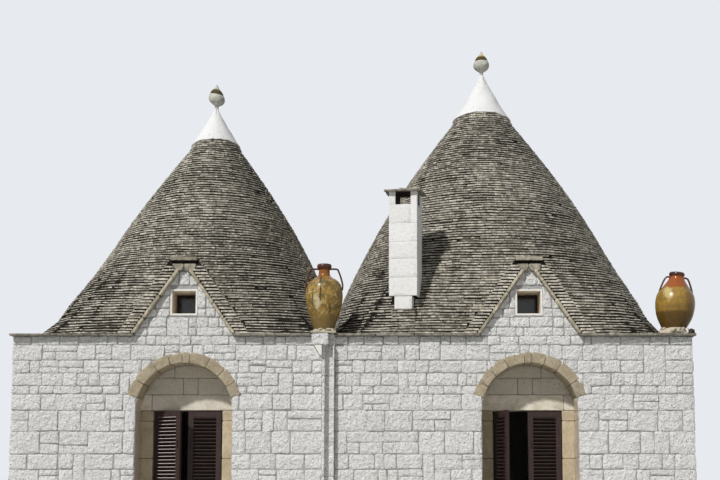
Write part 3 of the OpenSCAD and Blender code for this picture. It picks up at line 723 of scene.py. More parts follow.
def sides_of(outline):
    """Each point of an outline with the next one."""
    return zip(outline, outline[1:] + outline[:1])


def area(outline):
    return sum(a[0] * b[1] - b[0] * a[1] for a, b in sides_of(outline)) / 2


def tidy_outline(outline):
    """Leaves out points that lie almost on their neighbour."""
    least = 0.004
    kept = []
    for point in outline:
        if not kept or math.dist(point, kept[-1]) > least:
            kept.append(point)
    while len(kept) > 2 and math.dist(kept[0], kept[-1]) <= least:
        kept.pop()
    return kept


def rounded(outline, cut):
    """Cuts off the corners of an outline."""
    made = []
    count = len(outline)
    for i, corner in enumerate(outline):
        for other in (outline[i - 1], outline[(i + 1) % count]):
            made.append(between(corner, other, min(0.3, cut / math.dist(corner, other))))
    return made


def divided(outline, step):
    """Adds points along the sides of an outline."""
    made = []
    for a, b in sides_of(outline):
        parts = max(1, round(math.dist(a, b) / step))
        made.extend(between(a, b, k / parts) for k in range(parts))
    return made


def inset(outline, amount):
    """Moves the points of an outline inwards."""
    made = []
    count = len(outline)
    for i, (u, v) in enumerate(outline):
        before, after = outline[i - 1], outline[(i + 1) % count]
        du, dv = after[0] - before[0], after[1] - before[1]
        length = math.hypot(du, dv) or 1.0
        made.append((u - dv / length * amount, v + du / length * amount))
    return made


# Outlines with less area are left out, as mere slivers
SLIVER = 0.0012


def lay_stone(heap, plane, outline, back, front, hewn, rng, tone=None):
    """
    One stone from back to front. How it is hewn is given by the width of its worn edges, the
    unevenness of its face and the spacing of its points.
    """
    tone = rng.random() if tone is None else tone
    bevel, rough, step = hewn
    outline = tidy_outline(outline)
    if len(outline) < 3 or area(outline) < SLIVER:
        return
    edge = divided(rounded(outline, bevel * rng.uniform(1.0, 2.4)), step)
    seed = Vector([rng.uniform(-50, 50) for _ in range(3)])
    middle = [sum(p[axis] for p in edge) / len(edge) for axis in (0, 1)]

    def wobble(u, v, scale):
        return noise.noise(Vector((u * scale, v * scale, 0)) + seed)

    loose = rough * 0.9
    edge = [(u + wobble(u, v, 11.0) * loose, v + wobble(v, u, 11.0) * loose) for u, v in edge]
    worn = inset(edge, bevel)
    tilt_u, tilt_v = rng.uniform(-0.5, 0.5) * rough, rng.uniform(-0.5, 0.5) * rough
    reach = max(math.dist(p, middle) for p in edge)

    def face(u, v):
        lean = ((u - middle[0]) * tilt_u + (v - middle[1]) * tilt_v) / reach
        return front + lean + wobble(u, v, 9.0) * rough + wobble(u, v, 24.0) * rough * 0.45

    def towards(share):
        return [between(point, middle, share) for point in worn]

    rings = [[plane.at(u, v, level) for u, v in edge] for level in (back, front - bevel)]
    for outline, swell in ((worn, 0.0), (towards(0.34), 0.25), (towards(0.70), 0.3)):
        rings.append([plane.at(u, v, face(u, v) + rough * swell) for u, v in outline])
    heap.add_rings(rings, tone)


# Heights of the courses from the eaves down
COURSES = (0.150, 0.255, 0.215, 0.215, 0.135, 0.270, 0.345, 0.375, 0.250, 0.225, 0.265, 0.240,
           0.215, 0.250, 0.250)


def wall_rows():
    """Courses from the top of the walls down to the ground, as pairs of heights."""
    rows = []
    top = WALL_TOP
    for height in COURSES:
        if top > 0:
            rows.append((max(0.0, top - height), top))
            top = rows[-1][0]
    return rows


def free_stretches(low, high, blocked):
    """What is left of a stretch beside the blocked ones."""
    stretches = []
    for start, end in sorted(blocked):
        if start > low:
            stretches.append((low, min(start, high)))
        low = max(low, end)
        if low >= high:
            break
    if low < high:
        stretches.append((low, high))
    return stretches


# Lengths of the corner stones, which take turns from course to course, and of stones cut to an arch
QUOINS, CUT_STONES = (0.30, 0.50), (0.14, 0.20)
# Stones that reach into the next course: their chance, greatest length and height, and way from the ends
DEEP_CHANCE, DEEP_LENGTH, DEEP_HEIGHT, DEEP_MARGIN = 0.10, 0.38, 0.62, 0.2
# Stones that are split: from which chance, length and height, and from which length once more
SPLIT_CHANCE, SPLIT_LENGTH, SPLIT_HEIGHT, TWICE_LENGTH = 0.74, 0.2, 0.2, 0.34
# How far the corners of a stone stray, and how far it runs into the mortar
STRAY = 0.009
STONE_BACK = -0.03


def split_stone(u, length, v0, v1, rng):
    """A tall stone laid as two low ones, of which the lower may be two in turn."""
    right = u + length
    level = v0 + (v1 - v0) * rng.uniform(0.38, 0.62)
    stones = [(u, right, level, v1), (u, right, v0, level)]
    if length > TWICE_LENGTH and rng.random() < 0.6:
        part = u + length * rng.uniform(0.35, 0.65)
        stones[1:] = [(u, part, v0, level), (part, right, v0, level)]
    return stones


def jointed(stone, joint, rng):
    """The outline of one stone between its joints, with its lower corners and its top askew."""
    u0, u1, v0, v1 = stone
    half = joint / 2 * rng.uniform(0.7, 1.35)
    stray = [rng.uniform(-STRAY, STRAY) for _ in range(5)]
    return [(u0 + half + stray[0], v0 + half + stray[4]), (u1 - half + stray[1], v0 + half + stray[2]),
            (u1 - half, v1 - half + stray[3]), (u0 + half, v1 - half)]


def lay_wall(heap, plane, span, rows, sizes, rng, blocks=(), cuts=(), has_quoins=True):
    """Lays squared stones in courses. Blocks leave out stretches, and cuts trim single stones."""
    def trimmed(outline):
        for cut in cuts:
            outline = cut(outline) if outline else outline
        return outline

    def blocked_in(row):
        return [stretch for stretch in (block(*row) for block in blocks) if stretch]

    hewn = (sizes.bevel, sizes.rough, sizes.grain)
    deep = []
    for index, (v0, v1) in enumerate(rows):
        height = v1 - v0
        blocked = blocked_in((v0, v1)) + deep
        deep = []
        for start, end in free_stretches(*span, blocked):
            u = start
            while u < end - 0.01:
                length = rng.uniform(sizes.short, sizes.long) * (0.62 + height * 1.35)
                if has_quoins and abs(u - span[0]) < 0.01:
                    length = QUOINS[index % 2]
                if end - u - length < sizes.short * 0.9:
                    length = end - u if end - u < sizes.long * 1.15 else (end - u) / 2
                whole = rectangle(u, u + length, v0, v1)
                if length > 0.26 and area(trimmed(whole)) < area(whole) * 0.85:
                    length = rng.uniform(*CUT_STONES)
                right = u + length
                chance = rng.random()
                stones = [(u, right, v0, v1)]
                is_inner = u - start > DEEP_MARGIN and end - right > DEEP_MARGIN
                if is_inner and chance < DEEP_CHANCE and index + 1 < len(rows) and length < DEEP_LENGTH:
                    below = rows[index + 1]
                    is_free = all(right < b[0] or u > b[1] for b in blocked_in(below))
                    if v1 - below[0] < DEEP_HEIGHT and is_free:
                        stones = [(u, right, below[0], v1)]
                        deep.append((u, right))
                if height > SPLIT_HEIGHT and chance > SPLIT_CHANCE and length > SPLIT_LENGTH:
                    stones = split_stone(u, length, v0, v1, rng)
                for stone in stones:
                    outline = trimmed(jointed(stone, sizes.joint, rng))
                    if len(outline) > 2:
                        front = sizes.proud * rng.uniform(0.7, 1.25)
                        lay_stone(heap, plane, outline, STONE_BACK, front, hewn, rng)
                u = right


def wall_look(context):
    """The sizes and the finish that all the whitewashed stones share."""
    return context.scene.trullo_walls, finishes(context)["wall"]


FINISHES = {}


def finishes(context):
    """The finishes by name, made once from the colours in the panel."""
    if FINISHES:
        return FINISHES
    colours = context.scene.trullo_colours
    white, warm = tuple(colours.whitewash), tuple(colours.warm_stone)
    light, dark = tuple(colours.roof_light), tuple(colours.roof_dark)
    FINISHES.update({
        "wall": whitewash_finish("limewashed_stone", white),
        # Mortar painted dark grey: partly dirt, partly painted shade in the joints between the stones
        "mortar": whitewash_finish("mortar_dirt_and_painted_shade", shade(white, 0.46), 0.8, False, 0.03),
        "soot_and_shade": soot_finish("limewash_soot_and_painted_shade", shade(white, 0.87)),
        "smooth": whitewash_finish("smooth_limewash", tinted(white, (0.97, 0.95, 0.91)), 0.4, False, 0.02),
        "block": whitewash_finish("limewashed_blocks", shade(white, 0.94), 0.12, relief=0.014),
        "tympanum": whitewash_finish("weathered_limewash", tinted(white, (0.705, 0.66, 0.57)), 0.6,
                                     relief=0.03),
        "plaster": plaster_finish("cap_plaster", tuple(colours.plaster)),
        "warm": dressed_finish("dressed_limestone", shade(warm, 1.12)),
        "ring": dressed_finish("arch_limestone", tinted(warm, (0.98, 0.98, 1.0)), 0.05),
        "reveal": dressed_finish("bare_limestone", tinted(warm, (1.22, 1.22, 1.36))),
        "lintel": dressed_finish("pale_limestone", tinted(warm, (1.58, 1.72, 2.06))),
        "window": dressed_finish("window_stone", tinted(warm, (1.50, 1.56, 1.80))),
        "bed": dressed_finish("jar_mortar", tinted(warm, (1.15, 1.22, 1.35))),
        "roof": roof_finish("roof_slabs", light, dark),
        "rake": roof_finish("gable_slabs", shade(light, 1.04), shade(dark, 1.7)),
        # Eaves slabs darker than the cone's: partly their own colour, partly painted shade
        "eaves": roof_finish("eaves_slabs", shade(light, 0.45), shade(dark, 0.9)),
        "cap": roof_finish("chimney_cap_stone", shade(light, 0.70), shade(dark, 1.0), sooty=True),
        "verge": roof_finish("verge_slabs", tinted(light, (0.86, 0.82, 0.74)),
                             tinted(light, (0.56, 0.53, 0.46))),
        # Ridge finish, darker: the grey of the block under the ridge slabs is partly its stone and partly
        # painted shade
        "ridge": roof_finish("ridge_block", tinted(light, (0.62, 0.61, 0.58)),
                             tinted(light, (0.42, 0.41, 0.37))),
        "lava": roof_finish("dark_stone", shade(dark, 0.5), shade(dark, 0.15)),
        # Near-black core behind the slabs: painted shade in the gaps between them
        "core": core_finish("roof_core_painted_shade", dark),
        "wood": wood_finish("stained_wood", tuple(colours.wood), 0.04),
        # Wood whose upward faces are painted pale, partly dust and partly painted light, for the left shutter
        "dust_and_painted_light": wood_finish("bleached_wood", tuple(colours.wood), 1.0),
        "glass": glass_finish("dusty_glass"),
        "floor": floor_finish("room_paving", warm),
    })
    return FINISHES


def dress(node, material):
    """Gives a CAD node its finish."""
    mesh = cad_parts[node].data
    mesh.materials.clear()
    mesh.materials.append(material)


class TRULLO_OT_dress_frame(bpy.types.Operator):
    """Give the walls, floors, windows and shutters of the frame their finishes"""
    bl_idname = "trullo.dress_frame"
    bl_label = "Dress Frame"

    def execute(self, context):
        look = finishes(context)
        given = {
            "mortar": ["front_wall_left", "front_wall_middle", "front_wall_right", "left_door_wall",
                       "right_door_wall", "back_wall", "left_wall", "right_wall", "middle_wall",
                       "left_gable", "right_gable"],
            "smooth": ["window_frames"],
            "core": ["left_cone", "right_cone", "left_gable_roof", "right_gable_roof", "valley_slab"],
            "floor": ["left_floor", "right_floor"],
            "glass": ["window_panes"],
            "wood": ["window_sashes", "left_door_right_shutter", "right_door_left_shutter",
                     "right_door_right_shutter"],
            "dust_and_painted_light": ["left_door_left_shutter"],
            "soot_and_shade": ["chimney_shaft"],
        }
        for finish, nodes in given.items():
            for node in nodes:
                dress(node, look[finish])
        return {"FINISHED"}


class TRULLO_OT_lay_front_wall(bpy.types.Operator):
    """Lay the stones of the front wall round its two arched doorways"""
    bl_idname = "trullo.lay_front_wall"
    bl_label = "Lay Front Wall"
    seed = 11

    def execute(self, context):
        sizes, material = wall_look(context)
        heap = Heap()
        doors = DOORWAYS.values()
        channel_low, channel_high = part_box("rain_channel")
        blocks = [door.block for door in doors] + [lambda v0, v1: (channel_low.x, channel_high.x)]
        lay_wall(heap, FRONT_PLANE, (LEFT - sizes.proud, RIGHT + sizes.proud), wall_rows(), sizes,
                 random.Random(self.seed), blocks, [door.cut for door in doors])
        heap.build("front_wall_stones", material, "whitewashed_stone")
        return {"FINISHED"}


class TRULLO_OT_lay_other_walls(bpy.types.Operator):
    """Lay the stones of the back wall and of both side walls"""
    bl_idname = "trullo.lay_other_walls"
    bl_label = "Lay Back and Side Walls"
    seeds = {"back": 23, "left": 31, "right": 37}

    def execute(self, context):
        sizes, material = wall_look(context)
        proud = sizes.proud
        for side, plane, span in (("back", BACK_PLANE, (-RIGHT - proud, -LEFT + proud)),
                                  ("left", LEFT_PLANE, (-BACK, -FRONT)),
                                  ("right", RIGHT_PLANE, (FRONT, BACK))):
            heap = Heap()
            lay_wall(heap, plane, span, wall_rows(), sizes, random.Random(self.seeds[side]))
            heap.build(f"{side}_wall_stones", material, "whitewashed_stone")
        return {"FINISHED"}


class TRULLO_OT_lay_gable_walls(bpy.types.Operator):
    """Lay the stones of the two gables round their windows"""
    bl_idname = "trullo.lay_gable_walls"
    bl_label = "Lay Gable Walls"
    seeds = {"left": 41, "right": 42}
    # Height of the topmost stone, and how far the rakes of the stones keep below the gable's
    top_stone = 0.12
    rake_gap = 0.012

    def execute(self, context):
        sizes, material = wall_look(context)
        low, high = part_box("window_frames")
        half_window = high.x - DOORWAYS["right"].gable_x
        # Joints over, beside and under the window
        joints = (high.z + 0.06, low.z + 0.12, low.z - 0.03, low.z - 0.20, WALL_TOP)
        for door in DOORWAYS.values():
            middle = door.gable_x
            slope = Vector((door.gable_top - EAVES, door.gable_half)).normalized()

            def window_block(v0, v1):
                if v1 <= low.z or v0 >= high.z:
                    return None
                return middle - half_window, middle + half_window

            def rakes(outline):
                for way in (-1, 1):
                    outline = clip(outline, (middle, door.gable_top - self.rake_gap),
                                   (-way * slope.x, -slope.y))
                return outline

            levels = (door.gable_top, door.gable_top - self.top_stone, *joints)
            heap = Heap()
            lay_wall(heap, FRONT_PLANE, (middle - door.gable_half, middle + door.gable_half),
                     list(zip(levels[1:], levels)), sizes, random.Random(self.seeds[door.side]),
                     [window_block], [rakes], has_quoins=False)
            heap.build(f"{door.side}_gable_stones", material, "whitewashed_stone")
        return {"FINISHED"}


def ring_part(inner, outer, start, end):
    """Outline of a part of a round ring, between two angles in degrees."""
    count = max(2, round((end - start) / 5))
    turns = [math.radians(start + (end - start) * k / count) for k in range(count + 1)]
    return [(outer * math.cos(a), outer * math.sin(a)) for a in turns] + \
        [(inner * math.cos(a), inner * math.sin(a)) for a in reversed(turns)]


class TRULLO_OT_lay_doorways(bpy.types.Operator):
    """Lay the arch rings, the slabs under them, the lintels, the jambs and the lining of the niches"""
    bl_idname = "trullo.lay_doorways"
    bl_label = "Lay Doorways"
    seed = 53
    joint = 0.006
    lining = 0.005
    # Worn edge, unevenness and spacing of the points of the stones of each part
    ring_hewn = (0.009, 0.004, 0.06)
    slab_hewn = (0.006, 0.004, 0.08)
    frame_hewn = (0.007, 0.003, 0.07)
    lining_hewn = (0.004, 0.0015, 0.09)
    edge_hewn = (0.003, 0.001, 0.09)
    # Height of the lower slabs in the arch, and the joints of the lower and upper ones and of the lintel
    slab_height = 0.283
    low_splits = (-0.09, 0.163)
    high_splits = (-0.24,)
    lintel_split = 0.185

    def lay_ring(self, door, material, rng):
        heap = Heap()
        plane = Plane((door.x, FRONT, door.spring), (1, 0, 0))
        joints = RING_JOINTS if door.side == "left" else [180 - a for a in reversed(RING_JOINTS)]
        proud = FRONT - door.ring_face
        margin = math.degrees(self.joint / 2 / door.ring)
        for start, end in zip(joints, joints[1:]):
            outline = ring_part(door.niche, door.ring, start + margin, end - margin)
            lay_stone(heap, plane, outline, FRONT - door.face, proud + rng.uniform(-0.002, 0.006),
                      self.ring_hewn, rng)
        heap.build(f"{door.side}_arch_stones", material, "warm_limestone", replaces=[f"{door.side}_arch"])

    def lay_tympanum(self, door, material, rng):
        heap = Heap()
        plane = Plane((door.x, door.face, 0), (1, 0, 0))
        level = door.lintel_top + self.slab_height
        half = self.joint / 2
        for low, high, splits in ((level, door.spring + door.niche, self.high_splits),
                                  (door.lintel_top, level, self.low_splits)):
            edges = sorted([-door.niche, door.niche] + [door.flip * s for s in splits])
            for u0, u1 in zip(edges, edges[1:]):
                outline = inside_circle(rectangle(u0 + half, u1 - half, low + half, high - half),
                                        (0, door.spring), door.niche - 0.002)
                lay_stone(heap, plane, outline, door.face - INNER_FRONT, rng.uniform(-0.003, 0.003),
                          self.slab_hewn, rng)
        heap.build(f"{door.side}_tympanum_slabs", material, "smooth_whitewash",
                   replaces=[f"{door.side}_tympanum"])

    def lay_frame(self, door, look, rng):
        """The jambs and the lintel, in two heaps because the lintel is paler."""
        plane = Plane((door.x, door.face, 0), (1, 0, 0))
        half = self.joint / 2
        levels = (door.floor, *JAMB_JOINTS, door.top)
        jambs = [rectangle(*sorted((way * door.half, way * door.niche)), low + half, high - half)
                 for way in (-1, 1) for low, high in zip(levels, levels[1:])]
        lintels = []
        split = (self.lintel_split - door.niche) * door.flip
        for u0, u1 in ((-door.niche, split), (split, door.niche)):
            outline = rectangle(u0 + half, u1 - half, door.top + half, door.lintel_top - half)
            outline = clip(outline, (0, door.spring), (0, 1))
            lintels.append(inside_circle(outline, (0, door.spring), door.niche))
        for name, outlines, finish in (("jamb_stones", jambs, "warm"), ("lintel", lintels, "lintel")):
            heap = Heap()
            for outline in outlines:
                lay_stone(heap, plane, outline, door.face - INNER_FRONT, rng.uniform(0.0, 0.004),
                          self.frame_hewn, rng)
            heap.build(f"{door.side}_{name}", look[finish], "warm_limestone",
                       replaces=[f"{door.side}_door_frame"])

    def lay_lining(self, door, material, rng):
        """Thin stones on the sides of the niche, from the floor to the foot of the ring."""
        heap = Heap()
        depth = door.face - FRONT
        half = self.joint / 2
        levels = (door.floor, *JAMB_JOINTS, door.spring)
        for way in (-1, 1):
            plane = Plane((door.x + way * door.niche, FRONT, 0), (0, -way, 0))
            for low, high in zip(levels, levels[1:]):
                part = depth * rng.uniform(0.4, 0.7)
                for near, far in ((half, part - half), (part + half, depth - half)):
                    u0, u1 = sorted((-way * near, -way * far))
                    lay_stone(heap, plane, rectangle(u0, u1, low + half, high - half), -0.01,
                              self.lining * rng.uniform(0.7, 1.1), self.lining_hewn, rng)
        front = Plane((door.x, FRONT, door.spring), (1, 0, 0))
        for start, end in ((0.4, RING_JOINTS[0]), (180 - RING_JOINTS[0], 179.6)):
            outline = ring_part(door.niche - self.lining, door.niche + 0.012, start, end)
            lay_stone(heap, front, outline, -depth, -0.004, self.edge_hewn, rng)
        heap.build(f"{door.side}_niche_lining", material, "warm_limestone")

    def execute(self, context):
        look = finishes(context)
        for door in DOORWAYS.values():
            rng = random.Random(self.seed)
            self.lay_ring(door, look["ring"], rng)
            self.lay_tympanum(door, look["tympanum"], rng)
            self.lay_frame(door, look, rng)
            self.lay_lining(door, look["reveal"], rng)
        return {"FINISHED"}


# Spacing of the points along the front edge of a slab
STOP_SPACING = 0.07


def lay_slab(heap, stops, rise, depth, rng, tone):
    """One split slab of a roof, with stops of (point, outward, reach, lean) along its front edge."""
    worn = rise * rng.uniform(0.10, 0.20)
    side = (stops[-1][0] - stops[0][0]).normalized() * worn
    last = len(stops) - 1
    size = last + 3
    points = []
    for level, back in ((0.0, worn * 0.7), (rise * 0.6, 0.0), (rise, worn * 1.6)):
        ring = []
        for k, (point, out, reach, lean) in enumerate(stops):
            shift = side if k == 0 else -side if k == last else Vector()
            chip = UP * rng.uniform(-0.1, 0.1) * rise
            edge = point + out * (reach - back) + shift * (back / worn * 0.4)
            ring.append(edge + (UP + lean) * level + chip)
        corners = [point - out * depth + (UP + lean) * level for point, out, _, lean in (stops[0], stops[-1])]
        points += [corners[0], *ring, corners[1]]
    ends = [list(reversed(range(size))), [2 * size + i for i in range(size)]]
    heap.add(points, ends + faces_between(3, size), tone)


def lay_course(heap, run, sizes, rng, rise, longest, reach=1.0, lean=lambda share: Vector()):
    """
    Lays slabs along a run of (point, outward) pairs. Reach is a share of the slabs' relief, and lean
    slants them as they rise.
    """
    lengths = [0.0]
    for (a, _), (b, _) in zip(run, run[1:]):
        lengths.append(lengths[-1] + (b - a).length)
    total = lengths[-1]

    def at(distance):
        k = 0
        while k < len(run) - 2 and distance > lengths[k + 1]:
            k += 1
        step = lengths[k + 1] - lengths[k]
        share = (distance - lengths[k]) / step if step > NEAR else 0.0
        return run[k][0].lerp(run[k + 1][0], share), run[k][1].lerp(run[k + 1][1], share).normalized()

    place = 0.0
    while place < total - 0.02:
        length = sizes.short + (longest - sizes.short) * rng.random() ** 1.4
        if total - place - length < sizes.short:
            length = total - place
        gap = sizes.gap * rng.uniform(0.2, 1.0)
        count = max(2, min(7, round(length / STOP_SPACING)))
        thick = rise * rng.uniform(sizes.thinnest, sizes.thickest)
        lift = UP * rng.uniform(-0.05, 0.07) * rise
        proud = sizes.proud * rng.uniform(0.55, 1.0) * reach
        stops = []
        for k in range(count):
            distance = place + gap / 2 + (length - gap) * k / (count - 1)
            point, out = at(distance)
            stops.append((point + lift, out, proud + rng.uniform(-0.003, 0.003), lean(distance / total)))
        place += length
        spot = stops[0][0]
        patch = noise.noise(spot * 0.8) * 0.5 + noise.noise(spot * 2.7) * 0.35
        tone = min(1.0, max(0.0, 0.5 + patch * 0.55 + rng.gauss(0, 0.16)))
        lay_slab(heap, stops, thick, sizes.depth, rng, tone)


def cone_runs(tree, axis, level, ends, keep, steps):
    """Points round a cone at one level between its ends, in runs that leave out what covers the cone."""
    runs = [[]]
    reach = 8.0
    for i in range(steps + 1):
        turn = 2 * math.pi * i / steps + math.pi / 2
        out = Vector((math.cos(turn), math.sin(turn), 0))
        wave = 0.009 * math.sin(turn * 3 + level * 2) + 0.015 * noise.noise(out * 6 + UP * level * 4)
        height = min(max(level + wave, ends[0] + NEAR), ends[1] - NEAR)
        hit, normal, _, _ = tree.ray_cast(Vector((axis, 0, height)) + out * reach, -out, reach)
        if hit and keep(hit, normal):
            flat = Vector((normal.x, normal.y, 0)).normalized()
            bulge = 0.006 * noise.noise(hit * 1.3)
            runs[-1].append((hit + flat * bulge, flat))
        else:
            runs.append([])
    return [run for run in runs if len(run) > 1]


class Cap:
    """The plaster cap of one cone, whose ragged edge rises at the front."""
    neck = 0.030
    steepness = 1.15
    # How far the edge of the plaster lies over the cap's foot all round, and how much more at the front
    edge = 0.050
    front_edge = 0.080
    # How far the edge waves up and down, and how far the slabs run up behind it
    wave = 0.022
    lap = 0.028

    def __init__(self, side):
        low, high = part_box(f"{side}_cap")
        self.x, self.y = (low.x + high.x) / 2, (low.y + high.y) / 2
        self.low, self.high = low.z, high.z
        self.half = (high.x - low.x) / 2
        self.seed = {"left": 3.0, "right": 9.0}[side]

    def rim(self, out):
        """Height of the edge of the plaster on the side that out points to."""
        wave = noise.noise(Vector((out.x * 3.5, out.y * 3.5, self.seed)))
        return self.low + self.edge + self.front_edge * max(0.0, -out.y) + self.wave * wave

    def reach(self, level):
        """Distance of the cap's surface from its axis at a level."""
        share = (level - self.low) / (self.high - self.low)
        return self.neck + (self.half - self.neck) * (1 - share) ** self.steepness

    def pushed(self, point, least):
        """A point moved out until it is at least that far from the axis of the cap."""
        away = Vector((point.x - self.x, point.y - self.y, 0))
        return point + away * max(0.0, least / away.length - 1)

    def is_bare(self, point, _):
        """Whether a point lies below the plaster, or just behind its edge."""
        return point.z < self.rim(Vector((point.x - self.x, point.y - self.y, 0)).normalized()) + self.lap


class TRULLO_OT_lay_cones(bpy.types.Operator):
    """Lay the dry-stone slabs of both cones, course by course"""
    bl_idname = "trullo.lay_cones"
    bl_label = "Lay Cones"
    seeds = {"left": 61, "right": 67}
    # Points of a course on the lower and upper half of a cone, and on the foot of its cap
    low_steps, high_steps, cap_steps = 150, 96, 72
    # How much shorter the longest slabs are at the top, and how long they are on the cap
    shortening = 0.45
    cap_longest = 0.22
    # How far below the cone's top slabs are pushed out to the cap, and how far up the cap they go
    pushed_below = 0.17
    cap_courses = 0.16

    def execute(self, context):
        look = finishes(context)
        sizes = context.scene.trullo_roof
        for side, door in DOORWAYS.items():
            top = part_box(f"{side}_cone")[1].z
            cap = Cap(side)
            foot = foot_axis(f"{side}_cone")
            tree = surface(f"{side}_cone")

            def keep(point, normal):
                if abs(normal.x) > 0.999 or abs(point.x - VALLEY) < 0.01:
                    return False
                if point.y > 0:
                    return True
                if point.z < door.roof_top - 0.02 and \
                        abs(point.x - door.gable_x) < door.rake(point.z)[1] - 0.06:
                    return False
                return not SHAFT.covers(point)

            heap = Heap()
            rng = random.Random(self.seeds[side])
            level = EAVES
            while level < top - sizes.pitch * 0.4:
                rise = sizes.pitch * rng.uniform(0.88, 1.12)
                share = (level - EAVES) / (top - EAVES)
                axis = foot + (cap.x - foot) * share
                steps = self.low_steps if share < 0.5 else self.high_steps
                least = cap.half - 0.010 if level > top - self.pushed_below else 0.0
                for run in cone_runs(tree, axis, level + rise * 0.5, (EAVES, top), keep, steps):
                    run = [(cap.pushed(point, least) - UP * rise * 0.5, out) for point, out in run]
                    lay_course(heap, run, sizes, rng, rise, sizes.long * (1.0 - self.shortening * share))
                level += rise
            tree = surface(f"{side}_cap")
            while level < cap.low + self.cap_courses:
                rise = sizes.pitch * rng.uniform(0.80, 1.05)
                for run in cone_runs(tree, cap.x, level + rise * 0.5, (cap.low, cap.high), cap.is_bare,
                                     self.cap_steps):
                    run = [(point - UP * rise * 0.5, out) for point, out in run]
                    lay_course(heap, run, sizes, rng, rise, self.cap_longest, 0.2)
                level += rise
            heap.build(f"{side}_cone_slabs", look["roof"], "roof_stone", crease=35)
        return {"FINISHED"}


def foot_axis(node):
    """Where the axis of a cone meets its foot: the middle of the ring's flat back."""
    foot = [p for p in corners(node) if p.z < EAVES + NEAR]
    back = max(p.y for p in foot)
    flat = [p.x for p in foot if p.y > back - NEAR / 5]
    return (min(flat) + max(flat)) / 2


# Worn edge, unevenness and spacing of the points of the slabs that lie flat
FLAT_HEWN = (0.006, 0.003, 0.09)


def ragged(outline, step, amount, rng):
    """An outline with points at each step, which stray by an amount."""
    return [(u + rng.uniform(-amount, amount), v + rng.uniform(-amount, amount))
            for u, v in divided(outline, step)]


def lay_flat(heap, low, high, level, thick, rng, stray):
    """A thin slab that lies flat, with ragged edges."""
    plane = Plane((0, 0, level), (1, 0, 0), (0, 1, 0))
    outline = ragged(rectangle(low[0], high[0], low[1], high[1]), 0.22, stray, rng)
    lay_stone(heap, plane, outline, 0.0, thick, FLAT_HEWN, rng)


